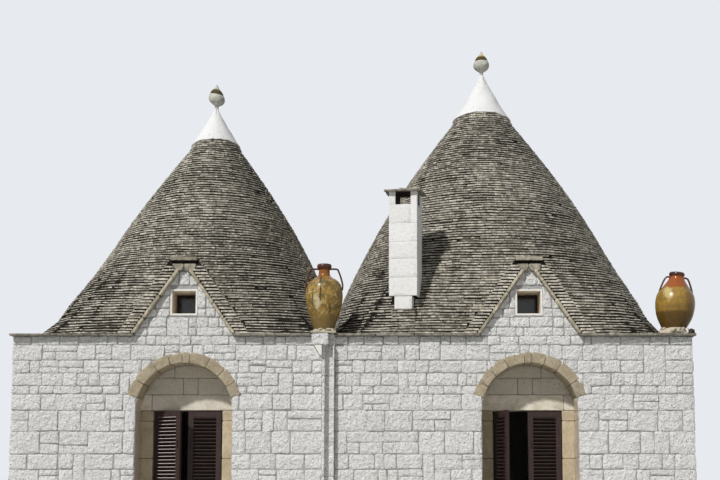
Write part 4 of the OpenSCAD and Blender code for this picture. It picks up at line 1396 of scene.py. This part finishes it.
class TRULLO_OT_lay_gable_roofs(bpy.types.Operator):
    """Lay the slabs of both gable roofs, the thin stones along their rakes and their tops"""
    bl_idname = "trullo.lay_gable_roofs"
    bl_label = "Lay Gable Roofs"
    seeds = {"left": 71, "right": 73}
    verge = 0.043
    verge_hewn = (0.006, 0.003, 0.06)
    block_hewn = (0.008, 0.004, 0.05)
    # Height of the grey block under the ridge, and how far it reaches left and right at its foot and top
    block = 0.13
    block_sides = ((0.133, 0.205), (0.19, 0.205))
    # Notch between its halves: half widths at the top and foot, level of its top, and that of the block
    notch = (0.003, 0.045, -0.065, -0.01)
    # Height left under the ridge's slabs, their thickness, and how far they reach past the roof's sides
    ridge_room = 0.05
    ridge_thick = 0.057
    ridge_lap = 0.012

    def lay_courses(self, heap, door, sizes, rng):
        cone = surface(f"{door.side}_cone")
        level, end = EAVES, door.roof_top - self.ridge_room
        while level < end:
            rise = min(sizes.pitch * rng.uniform(0.88, 1.12), end - level + 0.02)
            inner, outer = door.rake(level)
            inner += self.verge * 1.22
            slant = (door.rake(level + rise)[1] - outer) / rise
            beside = max(0.0, level - door.gable_top + self.block) / self.block
            for way in (-1, 1):
                if beside:
                    foot, top = self.block_sides[way > 0]
                    inner = foot + (top - foot) * beside + 0.012
                lean = Vector((way * slant, 0, 0))
                edge = Vector((door.gable_x + way * outer, door.roof_face, level))
                hit = cone.ray_cast(edge + UP * rise / 2, Vector((0, 1, 0)))[0]
                back = min(hit.y, door.roof_back) if hit else door.roof_back
                front = [(Vector((x, door.roof_face, level)), Vector((0, -1, 0)))
                         for x in (door.gable_x + way * inner, edge.x + way * 0.008)]
                side = [(Vector((edge.x, y, level)), Vector((way, 0, 0)))
                        for y in (door.roof_face + 0.03, back + 0.02)]
                for run, keen in ((front, 3), (side, 0)):
                    run = run[::way]
                    if (level + rise < door.gable_top or not keen) and (run[1][0] - run[0][0]).length > 0.04:
                        lay_course(heap, run, sizes, rng, rise, 0.24, 1.0,
                                   lambda share: lean * (share if way > 0 else 1 - share) ** keen)
            level += rise

    def lay_verges(self, heap, door, rng):
        height = door.gable_top - EAVES
        length = math.hypot(door.gable_half, height)
        along = (-door.gable_half / length, height / length)
        out = (along[1], -along[0])
        proud = FRONT - door.roof_face
        plane = Plane((door.gable_x, FRONT, EAVES), (1, 0, 0))
        end = length * (1 - self.block / height * 0.96)
        for way in (-1, 1):
            place = -0.02
            while place < end - 0.02:
                part = rng.uniform(0.26, 0.46)
                if end - place - part < 0.2:
                    part = end - place
                outline = []
                for run, side in ((0.004, -0.004), (part - 0.004, -0.004), (part - 0.004, self.verge),
                                  (0.004, self.verge)):
                    shift = side + rng.uniform(-0.003, 0.003)
                    outline.append((way * (door.gable_half + along[0] * (place + run) + out[0] * shift),
                                    along[1] * (place + run) + out[1] * shift))
                outline = clip(outline if way < 0 else outline[::-1], (0, 0), (0, 1))
                lay_stone(heap, plane, outline, 0.0, proud + rng.uniform(0.014, 0.022), self.verge_hewn,
                          rng, rng.random())
                place += part

    def lay_top(self, heap, door, rng):
        """The capping slabs of the ridge, and the grey block under the first of them."""
        proud = FRONT - door.roof_face
        plane = Plane((door.gable_x, FRONT, door.gable_top), (1, 0, 0))
        foot = -self.block
        (left_foot, left_top), (right_foot, right_top) = self.block_sides
        near, wide, low, high = self.notch
        for outline in ([(-left_foot, foot), (-wide, foot), (-near, low), (-near, high), (-left_top, high)],
                        [(near, high), (near, low), (wide, foot), (right_foot, foot), (right_top, high)]):
            lay_stone(heap, plane, outline, 0.03, proud + 0.006, self.block_hewn, rng)
        hit = surface(f"{door.side}_cone").ray_cast(
            Vector((door.gable_x, door.roof_face, door.roof_top - 0.02)), Vector((0, 1, 0)))[0]
        start = door.roof_face - 0.045
        while start < hit.y:
            deep = rng.uniform(0.22, 0.34)
            lay_flat(heap, (door.gable_x - door.ridge_half - self.ridge_lap, start),
                     (door.gable_x + door.ridge_half + self.ridge_lap, start + deep - 0.008),
                     door.roof_top - 0.045, self.ridge_thick, rng, 0.009)
            start += deep

    def execute(self, context):
        look = finishes(context)
        sizes = context.scene.trullo_roof
        for side, door in DOORWAYS.items():
            rng = random.Random(self.seeds[side])
            slabs, trim, block = Heap(), Heap(), Heap()
            self.lay_courses(slabs, door, sizes, rng)
            self.lay_verges(trim, door, rng)
            self.lay_top(block, door, rng)
            slabs.build(f"{side}_gable_slabs", look["rake"], "roof_stone", crease=35)
            trim.build(f"{side}_verge_stones", look["verge"], "roof_stone")
            block.build(f"{side}_ridge_block", look["ridge"], "roof_stone")
        return {"FINISHED"}


class TRULLO_OT_lay_eaves(bpy.types.Operator):
    """Lay the thin slabs of the eaves on the tops of the walls, all the way round"""
    bl_idname = "trullo.lay_eaves"
    bl_label = "Lay Eaves"
    seed = 83
    deep = 0.46
    lengths = (0.34, 0.78)
    gap = 0.004
    # How much less the slabs stand out over the side walls
    trim = 0.06

    def lay_row(self, heap, start, end, edge, inward, along_x, rng):
        """One row of slabs along an edge; inward is the signed depth of the row."""
        place = start
        while place < end - 0.02:
            length = rng.uniform(*self.lengths)
            if end - place - length < 0.3:
                length = end - place
            a, b = place + self.gap, place + length - self.gap
            c, d = sorted((edge + rng.uniform(-0.010, 0.008) * math.copysign(1, -inward), edge + inward))
            low, high = ((a, c), (b, d)) if along_x else ((c, a), (d, b))
            lay_flat(heap, low, high, WALL_TOP, (EAVES - WALL_TOP) * rng.uniform(0.80, 1.0), rng, 0.006)
            place += length

    def execute(self, context):
        look = finishes(context)
        rng = random.Random(self.seed)
        heap = Heap()
        block_low, block_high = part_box("spout_block")
        first, last = EAVES_LEFT + self.trim, EAVES_RIGHT - self.trim
        gables = [(door.gable_x - door.gable_half, door.gable_x + door.gable_half)
                  for door in DOORWAYS.values()]
        for start, end in free_stretches(first, last, [*gables, (block_low.x, block_high.x)]):
            for row in range(2):
                self.lay_row(heap, start, end, EAVES_FRONT + row * self.deep, self.deep, True, rng)
        for row in range(2):
            inward = row * self.deep
            self.lay_row(heap, first, last, EAVES_BACK - inward, -self.deep, True, rng)
            self.lay_row(heap, INNER_FRONT, INNER_BACK, first + inward, self.deep, False, rng)
            self.lay_row(heap, INNER_FRONT, INNER_BACK, last - inward, -self.deep, False, rng)
        heap.build("eaves_slabs", look["eaves"], "roof_stone",
                   replaces=["front_eaves", "back_eaves", "side_eaves"])
        return {"FINISHED"}


class TRULLO_OT_line_windows(bpy.types.Operator):
    """Line the reveals of the windows with bare stone"""
    bl_idname = "trullo.line_windows"
    bl_label = "Line Windows"
    seed = 89
    hewn = (0.003, 0.0012, 0.06)

    def execute(self, context):
        material = finishes(context)["window"]
        low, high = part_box("window_sashes")
        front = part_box("window_frames")[0].y + 0.016
        depth = low.y - front
        half = high.x - DOORWAYS["right"].gable_x
        middle = (low.z + high.z) / 2
        for door in DOORWAYS.values():
            rng = random.Random(self.seed)
            heap = Heap()
            x = door.gable_x
            tall = high.z - middle
            for plane, outline in (
                    (Plane((x - half, front, middle), (0, 1, 0)), rectangle(0, depth, -tall, tall)),
                    (Plane((x + half, front, middle), (0, -1, 0)), rectangle(-depth, 0, -tall, tall)),
                    (Plane((x, front, high.z), (1, 0, 0), (0, -1, 0)), rectangle(-half, half, -depth, 0)),
                    (Plane((x, front, low.z), (1, 0, 0), (0, 1, 0)), rectangle(-half, half, 0, depth))):
                lay_stone(heap, plane, outline, -0.008, 0.005, self.hewn, rng)
            heap.build(f"{door.side}_window_lining", material, "warm_limestone")
        return {"FINISHED"}


def smooth_line(points, parts):
    """A smooth curve through the points, with as many parts between each two."""
    made = []
    for i in range(len(points) - 1):
        four = [points[min(max(i + k, 0), len(points) - 1)] for k in (-1, 0, 1, 2)]
        for k in range(parts):
            t = k / parts
            made.append(tuple((2 * b + (c - a) * t + (2 * a - 5 * b + 4 * c - d) * t * t
                               + (3 * b - a - 3 * c + d) * t ** 3) / 2 for a, b, c, d in zip(*four)))
    return made + [points[-1]]


def turned_rings(profile, place, steps, dent, seed, grain):
    """Rings round an axis for a profile of (radius, height), with dents as deep and as close as given."""
    rings = []
    for radius, level in profile:
        ring = []
        for i in range(steps):
            turn = 2 * math.pi * i / steps
            side = Vector((math.cos(turn), math.sin(turn), 0))
            swell = dent * noise.noise(Vector((side.x * 1.7 + seed, side.y * 1.7, level * grain)))
            ring.append(place @ (side * (radius + swell) + UP * level))
        rings.append(ring)
    return rings


def lay_lump(heap, middle, size, rng, tone):
    """One rough lump of mortar or stone."""
    seed = rng.uniform(-50, 50)
    turn = Matrix.Rotation(rng.uniform(0, 2 * math.pi), 4, "Z")
    profile = [(math.sin(a), -math.cos(a)) for a in (math.radians(d) for d in (14, 45, 75, 105, 135, 166))]
    place = Matrix.Translation(middle) @ turn @ Matrix.Diagonal((*size, 1))
    heap.add_rings(turned_rings(profile, place, 10, 0.5, seed, 2.0), tone)


class TRULLO_OT_turn_caps(bpy.types.Operator):
    """Shape the plaster caps of the cones and turn the stone finials on them"""
    bl_idname = "trullo.turn_caps"
    bl_label = "Turn Caps"
    levels = 22
    sides = 72
    thick = 0.020
    # How far each finial's stopper slants, and the colour of the ring on it
    slants = {"left": 0.18, "right": 0.0}
    rings = {"left": (0.19, 0.17, 0.12), "right": (0.55, 0.40, 0.12)}
    # Outline of a finial, as shares of the bowl's radius and of the finial's height
    outline = ((0.24, 0.0), (0.22, 0.08), (0.32, 0.12), (0.62, 0.18), (0.88, 0.26), (1.0, 0.36),
               (0.98, 0.46), (0.90, 0.535), (0.81, 0.56), (0.80, 0.58), (0.77, 0.63), (0.66, 0.695),
               (0.53, 0.745), (0.49, 0.77), (0.36, 0.80), (0.27, 0.84), (0.15, 0.93), (0.04, 0.998))

    def execute(self, context):
        look = finishes(context)
        for side in DOORWAYS:
            cap = Cap(side)
            middle = Matrix.Translation((cap.x, cap.y, 0))
            rings = []
            for k in range(-2, self.levels + 1):
                ring = []
                for i in range(self.sides):
                    turn = 2 * math.pi * i / self.sides
                    out = Vector((math.cos(turn), math.sin(turn), 0))
                    foot = cap.rim(out)
                    level = foot + (cap.high - foot) * max(k, 0) / self.levels
                    away = cap.reach(level) + self.thick * (1 - max(k, 0) / self.levels)
                    away += 0.016 * noise.noise(Vector((out.x * 1.7 + cap.seed, out.y * 1.7, level * 5)))
                    if k < 0:
                        away, level = away + k * 0.03 + 0.02, level - 0.008
                    ring.append(middle @ (out * away + UP * level))
                rings.append(ring)
            heap = Heap()
            heap.add_rings(rings)
            heap.build(f"{side}_cap_plaster", look["plaster"], "cap_whitewash", replaces=[f"{side}_cap"])
            low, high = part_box(f"{side}_finial")
            bowl, tall = (high.x - low.x) / 2, high.z - low.z
            profile = [(r * bowl, low.z + h * tall) for r, h in smooth_line(self.outline, 2)]
            slant = self.slants[side]
            askew = Matrix.Identity(4)
            askew[2][0] = -slant
            heap = Heap()
            heap.add_rings(turned_rings(profile, middle @ askew, 40, 0.010, cap.seed, 6.0))
            finish = finial_finish(f"{side}_finial_stone", cap.x, low.z, high.z, self.rings[side], slant)
            heap.build(f"{side}_finial_stone", finish, "finial_stone", replaces=[f"{side}_finial"])
        return {"FINISHED"}


class TRULLO_OT_lay_chimney(bpy.types.Operator):
    """Lay the blocks of the chimney and its capping slab"""
    bl_idname = "trullo.lay_chimney"
    bl_label = "Lay Chimney"
    flue_half = 0.133
    smoke_height = 0.226
    proud = 0.006
    # Heights of the joints over the foot of the shaft
    joints = (0.0, 0.31, 0.63, 0.93, 1.25)
    seed = 97
    gap = 0.002
    block_hewn = (0.005, 0.003, 0.08)
    foot_hewn = (0.006, 0.004, 0.07)
    slab_hewn = (0.008, 0.006, 0.07)
    layer_hewn = (0.006, 0.005, 0.07)
    # Depth of the foot's stone, and how far it runs down behind the slabs that it stands on
    foot_depth = 0.30
    foot_hidden = 0.02
    # Spacing of the points round the capping slab, and thickness of its lower part as a share
    slab_step = 0.12
    slab_share = 0.55

    def lay_ledge(self, look, sizes, rng):
        """Slabs that the narrow foot stands on."""
        heap = Heap()
        half = SHAFT.foot_half
        level, top = SHAFT.foot_low - 0.03, SHAFT.low - SHAFT.foot_shown
        while level < top:
            rise = min(sizes.pitch * rng.uniform(0.9, 1.1), top - level + 0.01)
            out = -SHAFT.deep
            lap = half + 0.05
            run = [(SHAFT.middle + out * (SHAFT.foot_face - 0.004) + SHAFT.across * u + UP * level, out)
                   for u in (-lap, lap)]
            lay_course(heap, run, sizes, rng, rise, 0.2)
            for way in (-1, 1):
                face = SHAFT.across * way
                side = [(SHAFT.middle + out * (SHAFT.foot_face - back) + face * lap + UP * level, face)
                        for back in (0.02, 0.24)]
                lay_course(heap, side if way > 0 else side[::-1], sizes, rng, rise, 0.2, 0.6)
            level += rise
        heap.build("chimney_foot_slabs", look["roof"], "roof_stone", crease=35)

    def execute(self, context):
        look = finishes(context)
        rng = random.Random(self.seed)
        heap = Heap()
        reach = SHAFT.half + self.proud
        sill = SHAFT.cap_low - self.smoke_height
        levels = [SHAFT.low + joint for joint in self.joints] + [sill]
        courses = [(-reach, reach, low, high) for low, high in zip(levels[:-1], levels[1:-1])]
        courses += [(-reach, self.flue_half, levels[-2], sill),
                    (self.flue_half, reach, levels[-2], SHAFT.cap_low),
                    (-reach, -self.flue_half, sill, SHAFT.cap_low)]
        for turns in range(4):
            plane = SHAFT.face(turns, SHAFT.half)
            for u0, u1, v0, v1 in courses:
                lay_stone(heap, plane, rectangle(u0, u1, v0 + self.gap, v1 - self.gap), -0.02, self.proud,
                          self.block_hewn, rng)
        foot = rectangle(-SHAFT.foot_half, SHAFT.foot_half,
                         SHAFT.low - SHAFT.foot_shown - self.foot_hidden, SHAFT.low)
        lay_stone(heap, SHAFT.face(0, SHAFT.foot_face), foot, -self.foot_depth, self.proud,
                  self.foot_hewn, rng, 0.5)
        self.lay_ledge(look, context.scene.trullo_roof, rng)
        heap.build("chimney_blocks", look["block"], "whitewashed_stone")
        self.lay_cap(look["cap"], rng)
        return {"FINISHED"}

    def lay_cap(self, material, rng):
        """The capping slab, with what is left of two split layers on it."""
        cap = Heap()
        plane = Plane(SHAFT.middle + UP * SHAFT.cap_low, SHAFT.across, SHAFT.deep)
        half = SHAFT.cap_half
        thick = SHAFT.cap_high - SHAFT.cap_low
        outline = [(u + rng.uniform(-0.014, 0.008) * math.copysign(1, u),
                    v + rng.uniform(-0.014, 0.008) * math.copysign(1, v))
                   for u, v in divided(rectangle(-half, half, -half, half), self.slab_step)]
        lay_stone(cap, plane, outline, 0.0, thick * self.slab_share, self.slab_hewn, rng, 0.35)
        for layer, top in (((-0.06, half * 0.86, -half * 0.9, 0.10), 1.0),
                           ((-half * 0.9, 0.02, -0.20, half * 0.85), 0.85)):
            outline = ragged(rectangle(*layer), self.slab_step, 0.012, rng)
            lay_stone(cap, plane, outline, thick * 0.5, thick * top, self.layer_hewn, rng, 0.8)
        cap.build("chimney_cap_slab", material, "roof_stone", replaces=["chimney_cap"])


class Jar:
    """One storage jar: where it stands and its outlines, as shares of its radius and height."""

    def __init__(self, name, foot, height, radius, lean, outline, handle):
        self.name = name
        self.foot, self.height, self.radius = foot, height, radius
        self.place = Matrix.Translation(foot) @ Matrix.Rotation(lean, 4, "Y")
        self.outline = [(r * radius, h * height) for r, h in outline]
        self.handle = [(r * radius, h * height) for r, h in handle]


# The right jar leans, so that its box doesn't give its foot and height
RIGHT_JAR_X = 5.394
RIGHT_JAR_LIFT = 0.085
RIGHT_JAR_HEIGHT = 0.985
RIGHT_JAR_LEAN = math.radians(5)

# Outlines of the jars from foot to rim, and of their handles from the neck to the shoulder
MIDDLE_OUTLINE = (
    (0.50, 0.00), (0.55, 0.03), (0.72, 0.16), (0.86, 0.27), (0.96, 0.39), (1.00, 0.52),
    (0.97, 0.60), (0.90, 0.68), (0.73, 0.745), (0.48, 0.79), (0.335, 0.825), (0.30, 0.86),
    (0.30, 0.915), (0.36, 0.93), (0.39, 0.955), (0.385, 0.98), (0.355, 0.997))
RIGHT_OUTLINE = (
    (0.56, 0.00), (0.69, 0.08), (0.84, 0.18), (0.94, 0.28), (1.00, 0.42), (0.99, 0.52),
    (0.91, 0.62), (0.75, 0.70), (0.61, 0.765), (0.47, 0.835), (0.39, 0.885),
    (0.36, 0.925), (0.385, 0.94), (0.40, 0.96), (0.385, 0.985), (0.35, 0.997))
MIDDLE_HANDLE = ((0.26, 0.924), (0.66, 0.924), (0.76, 0.895), (0.89, 0.80), (0.99, 0.68), (0.96, 0.60))
RIGHT_HANDLE = ((0.26, 0.913), (0.51, 0.908), (0.61, 0.87), (0.70, 0.80), (0.80, 0.70), (0.86, 0.61))

# Glazes of the jars: the body as a tint of the glaze, the others as colours; levels as shares of the height.
# The drips are (place, low, high, half width, share), and run down the front; on the right jar the first is a
# wide dark band down its right side, painted shade.
MIDDLE_TINTS = {
    "body": (1.20, 1.14, 1.05), "green": (0.105, 0.100, 0.030), "pale": (0.64, 0.56, 0.36),
    "foot": (0.20, 0.130, 0.040), "neck": (0.26, 0.085, 0.012), "rim": (0.070, 0.024, 0.016),
    # Pale patch on the left: glaze wear and partly a painted highlight
    "worn": (-0.10, 0.40),
    "drip_and_shade": (0.055, 0.038, 0.014), "low": 0.20, "high": 0.80, "sharp": 0.07, "blots": 0.75,
    "drips_and_painted_shade": ((-0.047, 0.36, 0.80, 0.008, 0.95), (-0.187, 0.34, 0.55, 0.006, 0.9),
              (0.10, 0.18, 0.40, 0.012, 0.6), (0.085, 0.62, 0.72, 0.040, 0.5)),
}
RIGHT_TINTS = {
    "body": (1.15, 1.04, 0.70), "green": (0.26, 0.22, 0.060), "pale": (0.60, 0.48, 0.20),
    "foot": (0.085, 0.044, 0.008), "neck": (0.32, 0.078, 0.008), "rim": (0.060, 0.020, 0.014),
    # Pale patch on the left shoulder: glaze wear and partly a painted highlight
    "worn": (-0.12, 0.60),
    "drip_and_shade": (0.16, 0.090, 0.022), "low": 0.31, "high": 0.72, "sharp": 0.030, "blots": 0.30,
    # The first is a wide dark band down the jar's right side: painted shade
    "drips_and_painted_shade": ((0.34, 0.22, 0.80, 0.11, 0.75), (0.10, 0.30, 0.44, 0.30, 0.35)),
}


class TRULLO_OT_turn_jars(bpy.types.Operator):
    """Turn the two glazed jars, with their strap handles, and bed them in mortar"""
    bl_idname = "trullo.turn_jars"
    bl_label = "Turn Jars"
    wall = 0.020
    strap_width = 0.046
    strap_thick = 0.030
    strap_sides = 12
    seed = 101
    # Radii of the mortar under each jar at its foot and top, its height over the jar's foot, and its lumps
    beds = ((0.200, 0.168, 0.010, 9), (0.250, 0.205, 0.028, 34))

    def turn_body(self, heap, jar):
        """The outside, a rolled rim, and the hollow down to the inside of the foot."""
        outer = smooth_line(jar.outline, 3)
        lip_r, lip_z = outer[-1]
        inner = [(max(0.03, r - self.wall), max(self.wall, z)) for r, z in jar.outline[:-3]]
        profile = outer + [(lip_r - 0.006, jar.height), (lip_r - 0.016, lip_z)]
        profile += list(reversed(smooth_line(inner, 1)))
        heap.add_rings(turned_rings(profile, jar.place, 72, 0.005, jar.radius * 40, 2.0), 1.0)

    def bend_handle(self, heap, jar, side):
        path = smooth_line(jar.handle, 4)
        rings = []
        for k, (reach, level) in enumerate(path):
            before, after = path[max(0, k - 1)], path[min(len(path) - 1, k + 1)]
            along = Vector((after[0] - before[0], after[1] - before[1])).normalized()
            ring = []
            for i in range(self.strap_sides):
                turn = 2 * math.pi * i / self.strap_sides
                wide = self.strap_width / 2 * math.copysign(abs(math.cos(turn)) ** 0.6, math.cos(turn))
                thick = self.strap_thick / 2 * math.sin(turn)
                ring.append(jar.place @ Vector((side * (reach - along.y * thick), wide,
                                                level + along.x * thick)))
            rings.append(ring if side > 0 else ring[::-1])
        heap.add_rings(rings, 0.12)

    def lay_beds(self, jars, look):
        rng = random.Random(self.seed)
        middle, right = jars
        heap = Heap()
        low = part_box("jar_beds")[0]
        half = middle.foot.x - low.x
        lay_flat(heap, (low.x, low.y), (middle.foot.x + half, middle.foot.y + half), EAVES, 0.026, rng, 0.012)
        for jar, (wide, narrow, rim, lumps) in zip(jars, self.beds):
            place = Matrix.Translation((jar.foot.x, jar.foot.y, 0))
            tall = jar.foot.z + rim - EAVES
            radii = (wide * 0.97, wide, (wide + narrow) / 2, narrow, narrow * 0.8)
            profile = [(radius, EAVES + tall * share) for radius, share in zip(radii, (0, 0.2, 0.6, 1, 1))]
            heap.add_rings(turned_rings(profile, place, 56, 0.045, jar.foot.x, 14.0))
            for _ in range(lumps):
                turn = rng.uniform(0, 2 * math.pi)
                away = rng.uniform(narrow, wide)
                size = [rng.uniform(0.022, 0.055) * part for part in (1, 1, 0.7)]
                spot = Vector((jar.foot.x + math.cos(turn) * away, jar.foot.y + math.sin(turn) * away,
                               EAVES + tall * (wide - away) / (wide - narrow) * 0.8 + 0.008))
                lay_lump(heap, spot, size, rng, rng.random())
        heap.build("jar_bed_mortar", look["bed"], "warm_limestone", replaces=["jar_beds"])
        # A dark stone and a bit of white mortar beside the right jar
        for name, finish, slot, (x, y, z), size, tone, crease in (
                ("dark_corner_stone", "lava", "roof_stone",
                 (-0.10, -0.10, 0.045), (0.065, 0.06, 0.058), 0.1, 30),
                ("white_corner_mortar", "block", "whitewashed_stone",
                 (-0.185, -0.13, 0.05), (0.030, 0.035, 0.062), 0.3, 40)):
            lump = Heap()
            lay_lump(lump, Vector((EAVES_RIGHT + x, right.foot.y + y, EAVES + z)), size, rng, tone)
            lump.build(name, look[finish], slot, crease=crease)

    def execute(self, context):
        look = finishes(context)
        colour = tuple(context.scene.trullo_colours.glaze)
        low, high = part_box("middle_jar")
        middle_place = Vector(((low.x + high.x) / 2, (low.y + high.y) / 2, low.z))
        right_low, right_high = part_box("right_jar")
        right_place = Vector((RIGHT_JAR_X, (right_low.y + right_high.y) / 2, EAVES + RIGHT_JAR_LIFT))
        jars = (Jar("middle_jar", middle_place, high.z - low.z, (high.y - low.y) / 2, 0.0,
                    MIDDLE_OUTLINE, MIDDLE_HANDLE),
                Jar("right_jar", right_place, RIGHT_JAR_HEIGHT, (right_high.y - right_low.y) / 2,
                    RIGHT_JAR_LEAN, RIGHT_OUTLINE, RIGHT_HANDLE))
        for jar, tints in zip(jars, (MIDDLE_TINTS, RIGHT_TINTS)):
            heap = Heap()
            self.turn_body(heap, jar)
            for side in (-1, 1):
                self.bend_handle(heap, jar, side)
            body = tinted(colour, tints["body"])
            glaze = glaze_finish(f"{jar.name}_glaze", jar, {**tints, "body": body})
            heap.build(f"glazed_{jar.name}", glaze, "jar_glaze", replaces=[jar.name], crease=60)
        self.lay_beds(jars, look)
        return {"FINISHED"}


class TRULLO_OT_lay_spout(bpy.types.Operator):
    """Lay the block under the middle jar, its bracket and the open rain channel"""
    bl_idname = "trullo.lay_spout"
    bl_label = "Lay Spout"
    # Measures of the channel's lips and of the bracket, across the front
    lips = (0.042, 0.025)
    back = 0.014
    split = 0.080
    step = 0.050
    bracket = ((-0.160, 0.0), (-0.060, -0.170), (0.080, -0.170), (0.080, 0.0))
    joints = (0.55, 1.05, 1.62, 2.14, 2.71)
    seed = 103
    gap = 0.002
    block_hewn = (0.010, 0.005, 0.06)
    side_hewn = (0.008, 0.004, 0.06)
    bracket_hewn = (0.008, 0.004, 0.05)
    channel_hewn = (0.005, 0.003, 0.07)

    def execute(self, context):
        look = finishes(context)
        rng = random.Random(self.seed)
        low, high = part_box("spout_block")
        out = FRONT - low.y
        channel_low, channel_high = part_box("rain_channel")
        block_low = channel_high.z
        middle = (low.x + high.x) / 2
        heap = Heap()
        for u0, u1, front, hewn, tone in ((low.x, middle + self.split, out, self.block_hewn, 0.3),
                                          (middle + self.split, high.x, self.step, self.side_hewn, 0.9)):
            lay_stone(heap, FRONT_PLANE, rectangle(u0, u1, block_low, high.z), -0.02, front, hewn, rng, tone)
        lay_flat(heap, (low.x, FRONT + 0.01), (high.x, INNER_FRONT), WALL_TOP, high.z - WALL_TOP, rng, 0.0)
        heap.build("spout_stones", look["wall"], "whitewashed_stone", replaces=["spout_block"])
        bracket = Heap()
        outline = [(middle + u, block_low + v) for u, v in self.bracket]
        outline = clip(outline, (channel_low.x - 0.002, 0), (-1, 0))
        lay_stone(bracket, FRONT_PLANE, outline[::-1] if area(outline) < 0 else outline, -0.02,
                  out - 0.01, self.bracket_hewn, rng, 0.5)
        bracket.build("spout_bracket", look["smooth"], "whitewashed_stone", replaces=["spout_block"])
        channel = Heap()
        reach = FRONT - channel_low.y
        levels = (0.0, *self.joints, block_low)
        for v0, v1 in zip(levels, levels[1:]):
            for u0, u1, front in ((channel_low.x, channel_low.x + self.lips[0], reach),
                                  (channel_high.x - self.lips[1], channel_high.x, reach),
                                  (channel_low.x + 0.03, channel_high.x - 0.02, self.back)):
                lay_stone(channel, FRONT_PLANE, rectangle(u0, u1, v0 + self.gap, v1 - self.gap), -0.02, front,
                          self.channel_hewn, rng)
        channel.build("rain_channel_stones", look["wall"], "whitewashed_stone", replaces=["rain_channel"])
        return {"FINISHED"}


class TRULLO_OT_set_stage(bpy.types.Operator):
    """Set the floor, the pale surroundings, the lights and the camera"""
    bl_idname = "trullo.set_stage"
    bl_label = "Set Stage"
    key_way = (0.70, 1.0, -1.14)
    key_colour = (1.0, 0.985, 0.955)
    # The camera stands right of the middle and its picture is shifted, as the photo's is
    camera_x = 0.717
    shift_x, shift_y = -0.05, 0.09
    floor_colour = (0.62, 0.62, 0.61)
    floor_reach = 90.0
    fill_colour = (0.94, 0.965, 1.0, 1)
    seen_colour = (0.80, 0.83, 0.87, 1)

    def execute(self, context):
        look = context.scene.trullo_stage
        self.lay_floor()
        self.light_world(look)
        sun = bpy.data.lights.new("key_light", "SUN")
        sun.energy = look.sun
        sun.angle = look.spread
        sun.color = self.key_colour
        lamp = placed("key_light", sun)
        lamp.rotation_mode = "QUATERNION"
        lamp.rotation_quaternion = Vector(self.key_way).to_track_quat("-Z", "Y")
        camera = placed("camera", bpy.data.cameras.new("camera"))
        camera.data.lens = look.lens
        camera.data.sensor_width = 36.0
        camera.data.shift_x, camera.data.shift_y = self.shift_x, self.shift_y
        camera.data.clip_end = 400
        camera.location = (self.camera_x, -look.distance, look.eye)
        camera.rotation_euler = (look.tilt, 0, 0)
        context.scene.camera = camera
        context.scene.view_settings.view_transform = "Standard"
        return {"FINISHED"}

    def lay_floor(self):
        made = Finish("pale_floor", 0.95, 0.1)
        made.feed(made.shader.inputs["Base Color"], self.floor_colour)
        reach = self.floor_reach
        mesh = bpy.data.meshes.new("floor")
        mesh.from_pydata([(x, y, 0) for x, y in rectangle(-reach, reach, -reach, reach)], [], [(0, 1, 2, 3)])
        mesh.materials.append(made.material)
        floor = placed("floor", mesh)

    def light_world(self, look):
        """An even light, and a pale colour where the camera or a reflection sees the surroundings."""
        world = bpy.data.worlds.new("surroundings")
        bpy.context.scene.world = world
        world.use_nodes = True
        nodes, link = world.node_tree.nodes, world.node_tree.links.new
        nodes.clear()
        mix = nodes.new("ShaderNodeMixShader")
        link(mix.outputs[0], nodes.new("ShaderNodeOutputWorld").inputs[0])
        for slot, colour, strength in ((1, self.fill_colour, look.fill), (2, self.seen_colour, 1.0)):
            light = nodes.new("ShaderNodeBackground")
            light.inputs["Color"].default_value = colour
            light.inputs["Strength"].default_value = strength
            link(light.outputs[0], mix.inputs[slot])
        path = nodes.new("ShaderNodeLightPath")
        seen = path.outputs["Is Camera Ray"]
        for ray in ("Is Glossy Ray", "Is Transmission Ray"):
            either = nodes.new("ShaderNodeMath")
            either.operation = "MAXIMUM"
            link(seen, either.inputs[0])
            link(path.outputs[ray], either.inputs[1])
            seen = either.outputs[0]
        link(seen, mix.inputs[0])


class TRULLO_PT_panel(bpy.types.Panel):
    """Steps of the finish, in the order in which they are run"""
    bl_idname = "TRULLO_PT_panel"
    bl_label = "Trullo"
    bl_space_type = "VIEW_3D"
    bl_region_type = "UI"
    bl_category = "Trullo"

    def draw(self, context):
        for step in STEPS:
            self.layout.operator(step.bl_idname)


GROUPS = {"trullo_walls": WallSizes, "trullo_roof": RoofSizes, "trullo_colours": Colours,
          "trullo_stage": StageLook}
STEPS = (
    TRULLO_OT_set_stage,
    TRULLO_OT_dress_frame,
    TRULLO_OT_lay_front_wall,
    TRULLO_OT_lay_other_walls,
    TRULLO_OT_lay_gable_walls,
    TRULLO_OT_lay_doorways,
    TRULLO_OT_lay_cones,
    TRULLO_OT_lay_gable_roofs,
    TRULLO_OT_lay_eaves,
    TRULLO_OT_line_windows,
    TRULLO_OT_turn_caps,
    TRULLO_OT_lay_chimney,
    TRULLO_OT_turn_jars,
    TRULLO_OT_lay_spout,
)


def register():
    for made in (*GROUPS.values(), *STEPS, TRULLO_PT_panel):
        bpy.utils.register_class(made)
    for name, group in GROUPS.items():
        setattr(bpy.types.Scene, name, PointerProperty(type=group))


def unregister():
    for name in GROUPS:
        delattr(bpy.types.Scene, name)
    for made in reversed((*GROUPS.values(), *STEPS, TRULLO_PT_panel)):
        bpy.utils.unregister_class(made)


def main():
    register()
    for step in STEPS:
        area_name, operator = step.bl_idname.split(".")
        getattr(getattr(bpy.ops, area_name), operator)()


if __name__ == "__main__":
    main()
